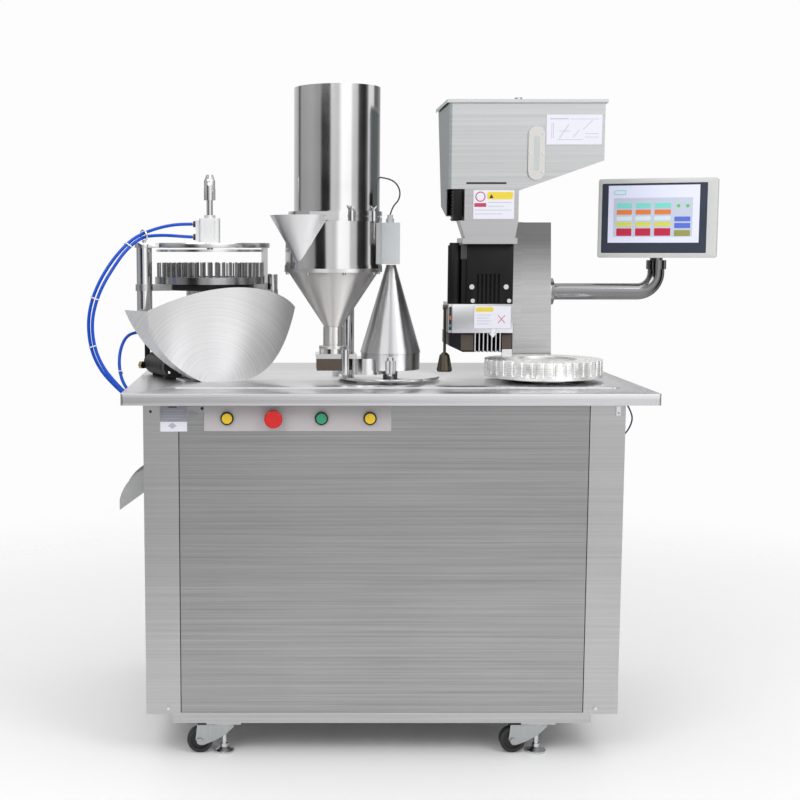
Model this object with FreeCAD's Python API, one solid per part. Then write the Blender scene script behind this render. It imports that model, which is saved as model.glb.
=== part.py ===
import FreeCAD, Part

# Capsule filler: a waist-high stainless cabinet on casters and levelling feet whose table
# carries a locking station (left), a powder auger head (middle) and a capsule loading
# station (right), with a touch screen on a pipe arm.
# Millimetres. X to the right, Y to the back, Z up. The model is drawn about the middle of
# the table with the floor at z = 0, and moved at the end so that the origin is the centre
# of the rigid object's box at the floor.
import math
import os

V = FreeCAD.Vector

# ---- driving dimensions -------------------------------------------------------------
TABLE_W, TABLE_D, TABLE_H = 1200, 830, 850      # table top
TABLE_EDGE = 26                                 # depth of its folded edge
TABLE_SKIN = 8                                  # top sheet with its backing
X0, X1 = -554, 531                              # cabinet body
Y0, Y1 = -375, 375
BODY_Z0 = 104
BODY_Z1 = TABLE_H - TABLE_EDGE
PLINTH_X0, PLINTH_X1, PLINTH_Y = -495, 473, 362
PLINTH_Z0 = 78
SHEET = 2
POST_W, POST_D, POST_T = 79, 63, 3              # folded corner posts
POST_LIP = 15
RAIL = 30                                       # square rails under the table
RAIL_Y = 310                                    # centre line of the front and rear rails
CLEAR = 0.3                                     # gap between pieces that move past each other
RUNNING = 0.05                                  # radial clearance of a shaft in its bore

CASTER_X = (-377, 352)
CASTER_Y = (-335, 335)
CASTER_TRAIL = 56
WHEEL_R, WHEEL_W = 30, 22
WHEEL_LIFT = 1                                  # the wheels hang clear while it stands on its feet
FOOT_R = 22.5

STRIP = (-417, 4, 762, 819)                     # control strip: x0, x1, z0, z1
STRIP_T = 2
BUTTONS = (                                     # node, x, cap radius, cap depth, travel
    ("button_yellow_left", -365, 11.5, 9, 3),
    ("button_red", -261, 20.5, 24, 5),
    ("button_green", -153, 11.5, 9, 3),
    ("button_yellow_right", -44, 11.5, 9, 3),
)
BUTTON_Z = 791
BUTTON_STEM_R = 5
BEZEL_DEPTH = 5

RING_X, RING_Y = -423, 19                       # axis of the locking station
DECK_Z = 1083                                   # top of its deck
PIN_BASE_T, PIN_H, PIN_R = 17, 35, 2
PIN_RINGS = ((92, 30), (105, 36), (118, 42), (131, 48))   # radius, number of pins
TOP_PLATE_Z = 1172
POST_X, POST_Y, POST_R = -580, -60, 19

POWDER_X, POWDER_Y = -118, -105                 # axis of the powder chamber and auger
COVER_X = -110                                  # axis of the motor cover
DISC_X, DISC_Y, DISC_R = 20, -90, 123           # filling turntable
LOAD_X, LOAD_Y = 394, -110                      # loading turntable
DISC_Z0, DISC_Z1 = 856, 862

PIPE_Y, PIPE_Z, PIPE_R = 88, 1061, 21           # arm of the touch screen
SCREEN_X, SCREEN_Y = 716, 88
PANEL_X, PANEL_Y, PANEL_YAW = 706, 60, -21.3
PANEL_W, PANEL_T, PANEL_H = 292, 45, 200
PANEL_Z = 1147

HOSE_R = 4
MOTOR_CABLE_R = 1.75
EARTH_WIRE_R = 1.75

# Routes of the cords, from the fitting that each leaves to the one that it enters.
HOSE_UPPER = [(-465, 19, 1231), (-488, 19, 1231), (-513, 8, 1229), (-537, -12, 1224), (-558, -36, 1217),
              (-580, -60, 1208), (-606, -81, 1193), (-632, -104, 1166), (-657, -118, 1133),
              (-680, -127, 1094), (-698, -133, 1052), (-708, -137, 1005), (-707, -140, 957),
              (-697, -141, 913), (-676, -144, 874), (-649, -148, 845), (-622, -152, 820),
              (-590, -154, 806), (-554, -154, 806)]
HOSE_LOWER = [(-465, 19, 1199), (-487, 19, 1200), (-512, 7, 1202), (-536, -14, 1203), (-557, -38, 1202),
              (-580, -61, 1199), (-603, -89, 1183), (-626, -113, 1157), (-648, -129, 1123),
              (-670, -139, 1086), (-687, -144, 1046), (-697, -149, 1002), (-696, -152, 957),
              (-686, -154, 916), (-667, -158, 880), (-643, -162, 852), (-620, -166, 828),
              (-589, -168, 812), (-554, -168, 812)]
HOSE_VALVE = [(-606, 62, 958), (-622, 52, 957), (-636, 34, 949), (-644, 12, 934), (-648, -12, 914),
              (-648, -36, 890), (-643, -60, 866), (-634, -82, 844), (-618, -102, 824), (-592, -120, 808),
              (-554, -124, 806)]
MOTOR_CABLE = [(-6.9, -105, 1340), (12, -104, 1338), (32, -103, 1328), (43, -102, 1308), (40, -101, 1286),
               (24, -100, 1270), (19, -100, 1251)]
EARTH_WIRE = [(541, -330, 842), (541, -330, 823), (553, -328, 803), (560, -325, 784), (554, -323, 763),
              (543, -321, 746), (531, -320, 738)]


# ---- small helpers --------------------------------------------------------------------
def box(x0, x1, y0, y1, z0, z1):
    return Part.makeBox(x1 - x0, y1 - y0, z1 - z0, V(x0, y0, z0))


def cylinder(x, y, z0, z1, r):
    return Part.makeCylinder(r, z1 - z0, V(x, y, z0))


def tube(x, y, z0, z1, r_out, r_in):
    return cylinder(x, y, z0, z1, r_out).cut(cylinder(x, y, z0 - 1, z1 + 1, r_in))


def cone(x, y, z0, z1, r0, r1):
    return Part.makeCone(r0, r1, z1 - z0, V(x, y, z0))


def rod(start, end, r):
    a, b = V(*start), V(*end)
    return Part.makeCylinder(r, (b - a).Length, a, b - a)


def outline(points, lift):
    corners = [lift(*p) for p in points]
    return Part.Face(Part.makePolygon(corners + corners[:1]))


def prism_x(points, x0, x1):
    """A (y, z) outline carried from x0 to x1."""
    return outline(points, lambda y, z: V(x0, y, z)).extrude(V(x1 - x0, 0, 0))


def prism_y(points, y0, y1):
    """An (x, z) outline carried from y0 to y1."""
    return outline(points, lambda x, z: V(x, y0, z)).extrude(V(0, y1 - y0, 0))


def prism_z(points, z0, z1):
    """An (x, y) outline carried from z0 to z1."""
    return outline(points, lambda x, y: V(x, y, z0)).extrude(V(0, 0, z1 - z0))


def join(*shapes):
    return shapes[0].multiFuse(list(shapes[1:])).removeSplitter()


def group(*shapes):
    """Separate solids of one kind that share a node."""
    solids = [solid for shape in shapes for solid in shape.Solids]
    return Part.makeCompound(solids)


def inset(points, gap):
    """A closed outline moved inward by the gap, corner by corner."""
    after = points[1:] + points[:1]
    before = points[-1:] + points[:-1]
    area = sum(a[0] * b[1] - b[0] * a[1] for a, b in zip(points, after))
    side = math.copysign(1, area)
    moved = []
    for a, here, b in zip(before, points, after):
        way_in = V(here[0] - a[0], here[1] - a[1], 0).normalize()
        way_out = V(b[0] - here[0], b[1] - here[1], 0).normalize()
        across_in = V(-way_in.y, way_in.x, 0) * side
        across_out = V(-way_out.y, way_out.x, 0) * side
        step = (across_in + across_out) * (gap / (1 + across_in.dot(across_out)))
        moved.append((here[0] + step.x, here[1] + step.y))
    return moved


def ring_places(x, y, radius, count, start=0.0):
    for k in range(count):
        angle = math.radians(start + 360.0 * k / count)
        yield x + radius * math.cos(angle), y + radius * math.sin(angle)


def turned(shape, x, y, angle):
    copy = shape.copy()
    copy.rotate(V(x, y, 0), V(0, 0, 1), angle)
    return copy


def rounded_upright(block, radius):
    """The block with its upright edges rounded."""
    upright = [e for e in block.Edges if abs(e.Vertexes[0].Z - e.Vertexes[-1].Z) > 0.9 * e.Length]
    return block.makeFillet(radius, upright)


def hexagon(x, y, z0, z1, across):
    corners = list(ring_places(x, y, across / math.sqrt(3), 6))
    return prism_z(corners, z0, z1)


def cord(name, points, radius):
    """A round cord along straight runs joined by tangent arcs."""
    at = [V(*p) for p in points]
    edges = []
    start = at[0]
    tightest = 1e9
    for before, here, after in zip(at, at[1:], at[2:]):
        way_in = (here - before).normalize()
        way_out = (after - here).normalize()
        half_turn = way_in.getAngle(way_out) / 2
        reach = 0.45 * min((here - before).Length, (after - here).Length)
        bend = reach / math.tan(half_turn)
        tightest = min(tightest, bend)
        first = here - way_in * reach
        last = here + way_out * reach
        inward = (way_out - way_in).normalize()
        middle = here + inward * (bend / math.cos(half_turn) - bend)
        edges.append(Part.LineSegment(start, first).toShape())
        edges.append(Part.Arc(first, middle, last).toShape())
        start = last
    edges.append(Part.LineSegment(start, at[-1]).toShape())
    path = Part.Wire(edges)
    section = Part.Wire([Part.makeCircle(radius, at[0], at[1] - at[0])])
    solid = path.makePipeShell([section], True, False)
    ideal = math.pi * radius ** 2 * path.Length
    print(f"{name}: length {path.Length:.0f} mm, tightest bend {tightest:.1f} mm, "
          f"volume against section x length {solid.Volume / ideal:.4f}")
    return solid


# ---- cabinet ----------------------------------------------------------------------------
def base_frame():
    """Base plate, folded plinth and the pads that the casters bolt to."""
    plate = box(X0, X1, Y0, Y1, BODY_Z0, BODY_Z0 + 4)
    skirt = box(PLINTH_X0, PLINTH_X1, -PLINTH_Y, PLINTH_Y, PLINTH_Z0, BODY_Z0).cut(
        box(PLINTH_X0 + 3, PLINTH_X1 - 3, 3 - PLINTH_Y, PLINTH_Y - 3, PLINTH_Z0 - 1, BODY_Z0 + 1))
    flange = box(PLINTH_X0, PLINTH_X1, -PLINTH_Y, PLINTH_Y, PLINTH_Z0, PLINTH_Z0 + 3).cut(
        box(PLINTH_X0 + 75, PLINTH_X1 - 75, 75 - PLINTH_Y, PLINTH_Y - 75, PLINTH_Z0 - 1, PLINTH_Z0 + 4))
    pads = [box(x - 40, x + 40, y - 27, y + 27, PLINTH_Z0 - 4, PLINTH_Z0)
            for x in CASTER_X for y in CASTER_Y]
    return join(plate, skirt, flange, *pads)


def corner_post(x_out, x_in, y_out, y_in):
    """A folded post: two flanges meeting at (x_out, y_out), each with a lip."""
    def span(a, b):
        return min(a, b), max(a, b)
    dx = POST_T if x_in > x_out else -POST_T
    dy = POST_T if y_in > y_out else -POST_T
    lip_y = y_out + POST_LIP * (1 if dy > 0 else -1)
    lip_x = x_out + POST_LIP * (1 if dx > 0 else -1)
    z = (BODY_Z0 + 4, BODY_Z1)
    return join(box(*span(x_out, x_in), *span(y_out, y_out + dy), *z),
                box(*span(x_out, x_out + dx), *span(y_out, y_in), *z),
                box(*span(x_in - dx, x_in), *span(y_out, lip_y), *z),
                box(*span(x_out, lip_x), *span(y_in - dy, y_in), *z))


HINGE_X, HINGE_Y, HINGE_R, HINGE_PIN_R = -472, 381, 5, 2.5
HINGE_Z = (180, 700)
KNUCKLE = 30


def frame_members():
    """Corner posts, the rails under the table and the fixed halves of the door hinges."""
    posts = [corner_post(X0, X0 + POST_W, Y0, Y0 + POST_D), corner_post(X1, X1 - POST_W, Y0, Y0 + POST_D),
             corner_post(X0, X0 + POST_W, Y1, Y1 - POST_D), corner_post(X1, X1 - POST_W, Y1, Y1 - POST_D)]
    z = (BODY_Z1 - RAIL, BODY_Z1)
    x_in0, x_in1 = X0 + POST_T, X1 - POST_T
    half = RAIL / 2
    rails = [box(x_in0, x_in1, -RAIL_Y - half, -RAIL_Y + half, *z),
             box(x_in0, x_in1, RAIL_Y - half, RAIL_Y + half, *z),
             box(x_in0, x_in0 + RAIL, half - RAIL_Y, RAIL_Y - half, *z),
             box(x_in1 - RAIL, x_in1, half - RAIL_Y, RAIL_Y - half, *z)]
    hinges = []
    for z0 in HINGE_Z:
        z1 = z0 + KNUCKLE
        pin = cylinder(HINGE_X, HINGE_Y, z0 - 15, z1 + 15, HINGE_PIN_R)
        knuckles = [cylinder(HINGE_X, HINGE_Y, z0 - 15, z0 - CLEAR, HINGE_R),
                    cylinder(HINGE_X, HINGE_Y, z1 + CLEAR, z1 + 15, HINGE_R)]
        leaves = [box(HINGE_X - 24, HINGE_X, Y1, Y1 + 2, z0 - 15, z0 - CLEAR),
                  box(HINGE_X - 24, HINGE_X, Y1, Y1 + 2, z1 + CLEAR, z1 + 15)]
        hinges.append(join(pin, *knuckles, *leaves))
    return group(*posts, *rails, *hinges)


def front_panel():
    x0, x1 = X0 + POST_W + 2, X1 - POST_W - 2
    z0, z1 = BODY_Z0 + 5, BODY_Z1 - 1
    sheet = box(x0, x1, Y0, Y0 + SHEET, z0, z1)
    folds = [box(x0, x0 + SHEET, Y0, Y0 + 12, z0, z1), box(x1 - SHEET, x1, Y0, Y0 + 12, z0, z1),
             box(x0, x1, Y0, Y0 + 12, z0, z0 + SHEET)]
    panel = join(sheet, *folds)
    for _, x, _, _, _ in BUTTONS:
        panel = panel.cut(rod((x, Y0 - 1, BUTTON_Z), (x, Y0 + 4, BUTTON_Z), 11))
    return panel


CHUTE_Y = (-200, -100)


def side_panels():
    y = (Y0 + POST_D + 1, Y1 - POST_D - 1)
    z = (BODY_Z0 + 5, BODY_Z1 - 1)
    left = box(X0, X0 + SHEET, *y, *z)
    left = left.cut(box(X0 - 1, X0 + 3, *CHUTE_Y, 596, 668))
    right = box(X1 - SHEET, X1, *y, *z)
    return group(left, right)


def rear_door():
    """A full-width service door with a folded edge, its hinge knuckles and a turn latch."""
    x0, x1 = X0 + POST_W + 4, X1 - POST_W - 4
    z0, z1 = BODY_Z0 + 7, BODY_Z1 - 3
    sheet = box(x0, x1, Y1 - SHEET, Y1, z0, z1)
    folds = [box(x0, x0 + SHEET, Y1 - 12, Y1, z0, z1), box(x1 - SHEET, x1, Y1 - 12, Y1, z0, z1),
             box(x0, x1, Y1 - 12, Y1, z0, z0 + SHEET), box(x0, x1, Y1 - 12, Y1, z1 - SHEET, z1)]
    door = join(sheet, *folds)
    for z in HINGE_Z:
        leaf = box(HINGE_X, HINGE_X + 26, Y1, Y1 + 2, z, z + KNUCKLE)
        knuckle = cylinder(HINGE_X, HINGE_Y, z, z + KNUCKLE, HINGE_R)
        door = join(door, leaf, knuckle)
        door = door.cut(cylinder(HINGE_X, HINGE_Y, z - 1, z + KNUCKLE + 1, HINGE_PIN_R + RUNNING))
    handle_x = x1 - 40
    handle = join(rod((handle_x, Y1, 470), (handle_x, Y1 + 10, 470), 14),
                  box(handle_x - 6, handle_x + 6, Y1 + 10, Y1 + 20, 440, 500))
    return join(door, handle)


def tabletop():
    """Folded sheet top with a drain groove, stiffeners over the rails, and the shaft holes."""
    w, d = TABLE_W / 2, TABLE_D / 2
    under = TABLE_H - TABLE_SKIN
    top = box(-w, w, -d, d, under, TABLE_H)
    edge = box(-w, w, -d, d, BODY_Z1, under).cut(box(3 - w, w - 3, 3 - d, d - 3, BODY_Z1 - 1, under + 1))
    half = RAIL / 2
    x_in0, x_in1 = X0 + POST_T, X1 - POST_T
    stiffener = box(x_in0, x_in1, -RAIL_Y - half, RAIL_Y + half, BODY_Z1, under).cut(
        box(x_in0 + RAIL, x_in1 - RAIL, half - RAIL_Y, RAIL_Y - half, BODY_Z1 - 1, under + 1))
    table = join(top, edge, stiffener)
    table = table.common(rounded_upright(box(-w, w, -d, d, BODY_Z1, TABLE_H), 6))
    groove_x, groove_y, groove_r = (-480, 523), -285, 16
    groove_z = TABLE_H - 3
    groove = join(box(*groove_x, groove_y - groove_r, groove_y + groove_r, groove_z, TABLE_H + 1),
                  *[cylinder(x, groove_y, groove_z, TABLE_H + 1, groove_r) for x in groove_x])
    table = table.cut(groove)
    for x, y, r in ((DISC_X, DISC_Y, 22), (LOAD_X, LOAD_Y, 22), (-430, -110, 28)):
        table = table.cut(cylinder(x, y, under - 1, TABLE_H + 1, r))
    return table


def faceplates():
    """Thin printed plates: the control strip, a notice and arrow, and three blank labels."""
    x0, x1, z0, z1 = STRIP
    strip = box(x0, x1, Y0 - STRIP_T, Y0, z0, z1)
    for _, x, _, _, _ in BUTTONS:
        strip = strip.cut(rod((x, Y0 - 5, BUTTON_Z), (x, Y0 + 1, BUTTON_Z), 11))
    notice = box(-516, -477, Y0 - 1, Y0, 760, 818)
    arrow = prism_y([(-472, 795), (-446, 795), (-446, 790), (-428, 800), (-446, 810), (-446, 805),
                     (-472, 805)], Y0 - 1, Y0)
    hopper_label = box(383, 517, HOPPER_Y0 - 1, HOPPER_Y0, 1414, 1486)
    throat_label = box(209, 309, THROAT_Y0 - 1, THROAT_Y0, 1238, 1309)
    block_label = box(215, 304, BLOCK_Y0 - 1, BLOCK_Y0, 980, 1035)
    return group(strip, notice, arrow, hopper_label, throat_label, block_label)


def button_bezels():
    """Switch bodies behind the strip, each with its round bezel in front."""
    bodies = []
    front = Y0 - STRIP_T
    for _, x, _, _, _ in BUTTONS:
        shell = join(rod((x, front, BUTTON_Z), (x, Y0 + 30, BUTTON_Z), 11),
                     rod((x, front - BEZEL_DEPTH, BUTTON_Z), (x, front, BUTTON_Z), 15),
                     box(x - 14, x + 14, Y0 + 30, Y0 + 45, BUTTON_Z - 14, BUTTON_Z + 14))
        shell = shell.cut(rod((x, front - 6, BUTTON_Z), (x, Y0 + 26, BUTTON_Z), BUTTON_STEM_R + RUNNING))
        shell = shell.cut(rod((x, front - 6, BUTTON_Z), (x, front - 1, BUTTON_Z), 12))
        bodies.append(shell)
    return group(*bodies)


def button(x, cap_r, depth, travel):
    """A cap on a stem; the wide mushroom cap stands in front of its bezel."""
    front = Y0 - STRIP_T
    back = front - 1 - travel - CLEAR
    stem = rod((x, front - depth + 2, BUTTON_Z), (x, Y0 + 16, BUTTON_Z), BUTTON_STEM_R)
    if cap_r > 15:
        head = rod((x, front - depth, BUTTON_Z), (x, front - depth + 12, BUTTON_Z), cap_r)
        head = head.makeFillet(4, [head.Edges[0], head.Edges[2]])
        neck = rod((x, front - depth + 12, BUTTON_Z), (x, back, BUTTON_Z), 10)
        return join(head, neck, stem)
    return join(rod((x, front - depth, BUTTON_Z), (x, back, BUTTON_Z), cap_r), stem)


def outlet_chute():
    """A sloping trough that carries the filled capsules out through the left side."""
    slope = 0.73
    x_in, x_out, z_out = -400, -631, 547
    z_in = z_out + slope * (x_in - x_out)
    floor = [(x_out, z_out), (x_in, z_in), (x_in, z_in + 3), (x_out, z_out + 3)]
    lip = [V(x_out, 0, z_out), V(x_in, 0, z_in), V(x_in, 0, z_in + 60), V(-560, 0, 652)]
    edges = [Part.LineSegment(a, b).toShape() for a, b in zip(lip, lip[1:])]
    edges.append(Part.Arc(lip[-1], V(-603, 0, 624), V(x_out, 0, 572)).toShape())
    edges.append(Part.LineSegment(V(x_out, 0, 572), lip[0]).toShape())
    side = Part.Face(Part.Wire(edges))
    walls = []
    for y in (CHUTE_Y[0], CHUTE_Y[1] - SHEET):
        wall = side.extrude(V(0, SHEET, 0))
        wall.translate(V(0, y, 0))
        walls.append(wall)
    return join(prism_y(floor, *CHUTE_Y), *walls)


def levelling_feet():
    """Screwed feet that stand on the floor through the middle of the caster swivels."""
    feet = []
    for x in CASTER_X:
        for y in CASTER_Y:
            disc = join(cylinder(x, y, 0, 5, FOOT_R), cone(x, y, 5, 13, FOOT_R - 2, 9))
            feet.append(join(disc, hexagon(x, y, 13, 21, 17), cylinder(x, y, 21, PLINTH_Z0 - 4, 6)))
    return group(*feet)


def caster_fork(x, y):
    wheel_z = WHEEL_R + WHEEL_LIFT
    axle_x = x - CASTER_TRAIL
    gap = WHEEL_W / 2 + 2
    top = PLINTH_Z0 - 4 - CLEAR
    cheek = [(x - 62, 69), (x - 66, 34), (x - 57, 21), (x - 48, 21), (x - 25, 30), (x + 2, 45), (x + 23, 65),
             (x + 23, 69)]
    cheeks = [prism_y(cheek, y - gap - 3, y - gap), prism_y(cheek, y + gap, y + gap + 3)]
    web = box(x - 62, x + 23, y - gap, y + gap, 65, 69)
    race = cylinder(x, y, 69, top, 26)
    axle = rod((axle_x, y - gap - 7, wheel_z), (axle_x, y + gap + 7, wheel_z), 4)
    heads = [rod((axle_x, y + s * (gap + 3), wheel_z), (axle_x, y + s * (gap + 8), wheel_z), 7) for s in (-1, 1)]
    return join(*cheeks, web, race, axle, *heads).cut(cylinder(x, y, 20, 90, 13))


def caster_wheel(x, y):
    z = WHEEL_R + WHEEL_LIFT
    axle_x = x - CASTER_TRAIL
    half = WHEEL_W / 2
    wheel = rod((axle_x, y - half, z), (axle_x, y + half, z), WHEEL_R)
    wheel = wheel.makeFillet(3, [wheel.Edges[0], wheel.Edges[2]])
    for side in (-1, 1):
        hollow = rod((axle_x, y + side * (half - 4), z), (axle_x, y + side * (half + 1), z), 21)
        boss = rod((axle_x, y + side * (half - 5), z), (axle_x, y + side * (half + 2), z), 9)
        wheel = wheel.cut(hollow.cut(boss))
    return wheel.cut(rod((axle_x, y - half - 2, z), (axle_x, y + half + 2, z), 4 + RUNNING))


# ---- inside the cabinet -------------------------------------------------------------------
SPINDLE_R, MOTOR_SHAFT_R = 20, 10


def gear_motors():
    """Turntable gear motors bolted up under the table, and the auger motor inside its cover."""
    motors = []
    under = TABLE_H - TABLE_SKIN
    for x, y in ((DISC_X, DISC_Y), (LOAD_X, LOAD_Y)):
        gearbox = box(x - 50, x + 50, y - 50, y + 50, 670, under)
        motor = cylinder(x, y, 500, 670, 48)
        shaft = cylinder(x, y, 780, 830, MOTOR_SHAFT_R)
        well = cylinder(x, y, 783, under + 1, SPINDLE_R + 3)
        motors.append(join(join(gearbox, motor).cut(well), shaft))
    auger_motor = join(cylinder(POWDER_X, POWDER_Y, 1258, 1300, 62), cylinder(POWDER_X, POWDER_Y, 1300, 1490, 55))
    return group(*motors, auger_motor)


def vacuum_pump():
    floor = BODY_Z0 + 4
    return join(box(180, 420, -60, 120, floor, floor + 12),
                rod((190, 30, 230), (300, 30, 230), 70), rod((300, 30, 230), (410, 30, 230), 55),
                box(200, 230, -30, 90, floor + 12, 200), box(350, 380, -20, 80, floor + 12, 200))


def electrical_box():
    floor = BODY_Z0 + 4
    body = box(-440, -160, 60, 240, floor, 520)
    return join(body, box(-430, -170, 240, 244, floor + 10, 510), rod((-185, 244, 320), (-185, 252, 320), 10))


# ---- locking station --------------------------------------------------------------------------
def arm_outline(x0, y0, x1, y1, width):
    length = math.hypot(x1 - x0, y1 - y0)
    nx, ny = -(y1 - y0) / length * width / 2, (x1 - x0) / length * width / 2
    return [(x0 + nx, y0 + ny), (x0 - nx, y0 - ny), (x1 - nx, y1 - ny), (x1 + nx, y1 + ny)]


RIGHT_POST_X = -266
SHORT_POST_Z, SHORT_POST_R = (1068, 1107), 12.5
STRAP_X, STRAP_Y = (-295, -279), (RING_Y + 60, RING_Y + 64)


def lock_pedestal():
    """Column on the table with the deck that carries the pin ring, the posts and the strap."""
    deck_z = (DECK_Z - 16, DECK_Z)
    low_z = (SHORT_POST_Z[0] - 16, SHORT_POST_Z[0])
    column = join(cylinder(RING_X, RING_Y, TABLE_H, TABLE_H + 14, 85), cylinder(RING_X, RING_Y, TABLE_H, DECK_Z, 60))
    deck = join(cylinder(RING_X, RING_Y, *deck_z, 100),
                prism_z(arm_outline(RING_X, RING_Y, POST_X, POST_Y, 32), *deck_z),
                cylinder(POST_X, POST_Y, *deck_z, POST_R + 3),
                prism_z(arm_outline(RING_X, RING_Y, RIGHT_POST_X, RING_Y + 1, 28), *low_z),
                cylinder(RIGHT_POST_X, RING_Y, *low_z, SHORT_POST_R + 1),
                box(-350, STRAP_X[1], RING_Y + 40, STRAP_Y[1], *deck_z))
    return join(column, deck).cut(cylinder(POST_X, POST_Y, 800, 1300, POST_R))


def lock_posts():
    """Polished post on the left with the hose eyelet, and the short post and strap on the right."""
    post_top = TOP_PLATE_Z + 12
    post = cylinder(POST_X, POST_Y, 1005, post_top, POST_R)
    stalk = cylinder(POST_X, POST_Y, post_top, post_top + 5, 5)
    eyelet = Part.makeTorus(13, 2.5, V(POST_X, POST_Y, post_top + 18), V(0.75, 0.6, 0.2))
    short = cylinder(RIGHT_POST_X, RING_Y, *SHORT_POST_Z, SHORT_POST_R)
    short = short.makeFillet(2, [short.Edges[0]])
    strap = box(*STRAP_X, *STRAP_Y, DECK_Z, TOP_PLATE_Z)
    return group(join(post, stalk, eyelet), short, strap)


def lock_top_plate():
    z = (TOP_PLATE_Z, TOP_PLATE_Z + 12)
    plate = join(cylinder(RING_X, RING_Y, *z, 150),
                 prism_z(arm_outline(RING_X, RING_Y, POST_X, POST_Y, 56), *z),
                 cylinder(POST_X, POST_Y, *z, POST_R + 4))
    plate = plate.cut(cylinder(POST_X, POST_Y, 1100, 1300, POST_R))
    return plate.cut(cylinder(RING_X, RING_Y, 1100, 1300, 8 + CLEAR))


def lock_cylinder():
    """Grooved air cylinder on the top plate, with a port bar and a fitting for each of its hoses."""
    z0, z1 = TOP_PLATE_Z + 12, 1245
    half = 25
    body = rounded_upright(box(RING_X - half, RING_X + half, RING_Y - half, RING_Y + half, z0, z1), 4)
    for x in (RING_X - 12, RING_X + 12):
        body = body.cut(box(x - 2, x + 2, RING_Y - half - 1, RING_Y - half + 3, z0 + 8, z1 - 8))
    bar = box(RING_X - half - 10, RING_X - half, RING_Y - 12, RING_Y + 12, z0 + 4, z1 - 4)
    nose = cylinder(RING_X, RING_Y, z1, z1 + 8, 14)
    fittings = []
    for route in (HOSE_UPPER, HOSE_LOWER):
        x, y, z = route[0]
        fittings.append(rod((x, y, z), (RING_X - half - 9, y, z), 7))
    return join(body, bar, nose, *fittings).cut(cylinder(RING_X, RING_Y, z0 - 1, z1 + 20, 8 + RUNNING))


def press_rod():
    """Rod with the round press plate below and a hooked clevis above."""
    plate = cylinder(RING_X, RING_Y, TOP_PLATE_Z - 10, TOP_PLATE_Z - 4, 134)
    shaft = cylinder(RING_X, RING_Y, TOP_PLATE_Z - 4, 1290, 8)
    clevis = join(cylinder(RING_X, RING_Y, 1290, 1338, 14.5), cone(RING_X, RING_Y, 1338, 1353, 14.5, 8))
    slot = box(RING_X - 20, RING_X + 20, RING_Y - 5, RING_Y + 5, 1318, 1345)
    window = rod((RING_X, RING_Y - 30, 1331), (RING_X, RING_Y + 30, 1331), 6)
    return join(plate, shaft, clevis.cut(slot).cut(window))


def pin_ring():
    z = DECK_Z + PIN_BASE_T
    base = cylinder(RING_X, RING_Y, DECK_Z, z, 138).cut(cylinder(RING_X, RING_Y, DECK_Z + 8, z + 1, 80))
    pins = []
    for row, (radius, count) in enumerate(PIN_RINGS):
        for x, y in ring_places(RING_X, RING_Y, radius, count, start=row * 3.0):
            pins.append(cylinder(x, y, z - 1, z + PIN_H, PIN_R))
    return base.multiFuse(pins)


SCOOP_MID = V(-407, -75, 0)                     # middle of the chord between the scoop's upper corners
SCOOP_ACROSS = V(0.9348, 0.3551, 0)
SCOOP_OUT = V(0.3551, -0.9348, 0)
SCOOP_AXIS_IN = 143                             # cone axis behind that chord
SCOOP_R0, SCOOP_R1 = 205, 279.7                 # cone radius at the table and at the top
SCOOP_TOP = 1100
SCOOP_SHEET = 2.5


def scoop_point(across, z, out=0.0):
    return SCOOP_MID + SCOOP_ACROSS * across + SCOOP_OUT * out + V(0, 0, z)


def scoop_face(inset, out):
    """The scoop's outline seen square on: flat foot, bowed sides and a bowed top."""
    def at(across, z):
        return scoop_point(across, z, out)
    foot_z = TABLE_H
    foot_l, foot_r = at(-50 + inset, foot_z), at(64 - inset, foot_z)
    corner_l, corner_r = at(-179 + inset, 1023), at(208 - inset, 1025)
    edges = [Part.LineSegment(foot_l, foot_r).toShape(),
             Part.Arc(foot_r, at(176 - inset, 925), corner_r).toShape(),
             Part.Arc(corner_r, at(10, 1079 - inset), corner_l).toShape(),
             Part.Arc(corner_l, at(-139 + inset, 920), foot_l).toShape()]
    return Part.Face(Part.Wire(edges))


def scoop():
    """Bent cone sheet in front of the station, with a side wall on the left."""
    foot = SCOOP_MID - SCOOP_OUT * SCOOP_AXIS_IN + V(0, 0, TABLE_H)
    height = SCOOP_TOP - TABLE_H
    solid = Part.makeCone(SCOOP_R0, SCOOP_R1, height, foot)
    inner = Part.makeCone(SCOOP_R0 - SCOOP_SHEET, SCOOP_R1 - SCOOP_SHEET, height, foot)
    prism = scoop_face(0, -30).extrude(SCOOP_OUT * 260)
    sheet = solid.cut(inner).common(prism)
    back = SCOOP_OUT * -0.97 + SCOOP_ACROSS * -0.243
    start = 60
    outer = scoop_face(0, start).extrude(back * 138)
    core = scoop_face(SCOOP_SHEET, start + 1).extrude(back * 141)
    wall = outer.cut(core)
    wall.translate(SCOOP_ACROSS * 4.5)
    wall = wall.common(solid)
    split = -52
    left_half = Part.makeBox(200, 500, 1021 - TABLE_H, V(-200, -250, TABLE_H))
    left_half.rotate(V(0, 0, 0), V(0, 0, 1), math.degrees(math.atan2(SCOOP_ACROSS.y, SCOOP_ACROSS.x)))
    left_half.translate(scoop_point(split, 0))
    taper = Part.Face(Part.makePolygon([scoop_point(split, TABLE_H, 22), scoop_point(split, 1100, -118),
                                        scoop_point(split, TABLE_H, -200), scoop_point(split, TABLE_H, 22)]))
    wall = wall.common(left_half).cut(taper.extrude(SCOOP_ACROSS * -200))
    return join(sheet, wall)


VALVE_BACK, VALVE_FRONT = (-570, 66, 881), (-505, -92, 881)
VALVE_R = 27


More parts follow.
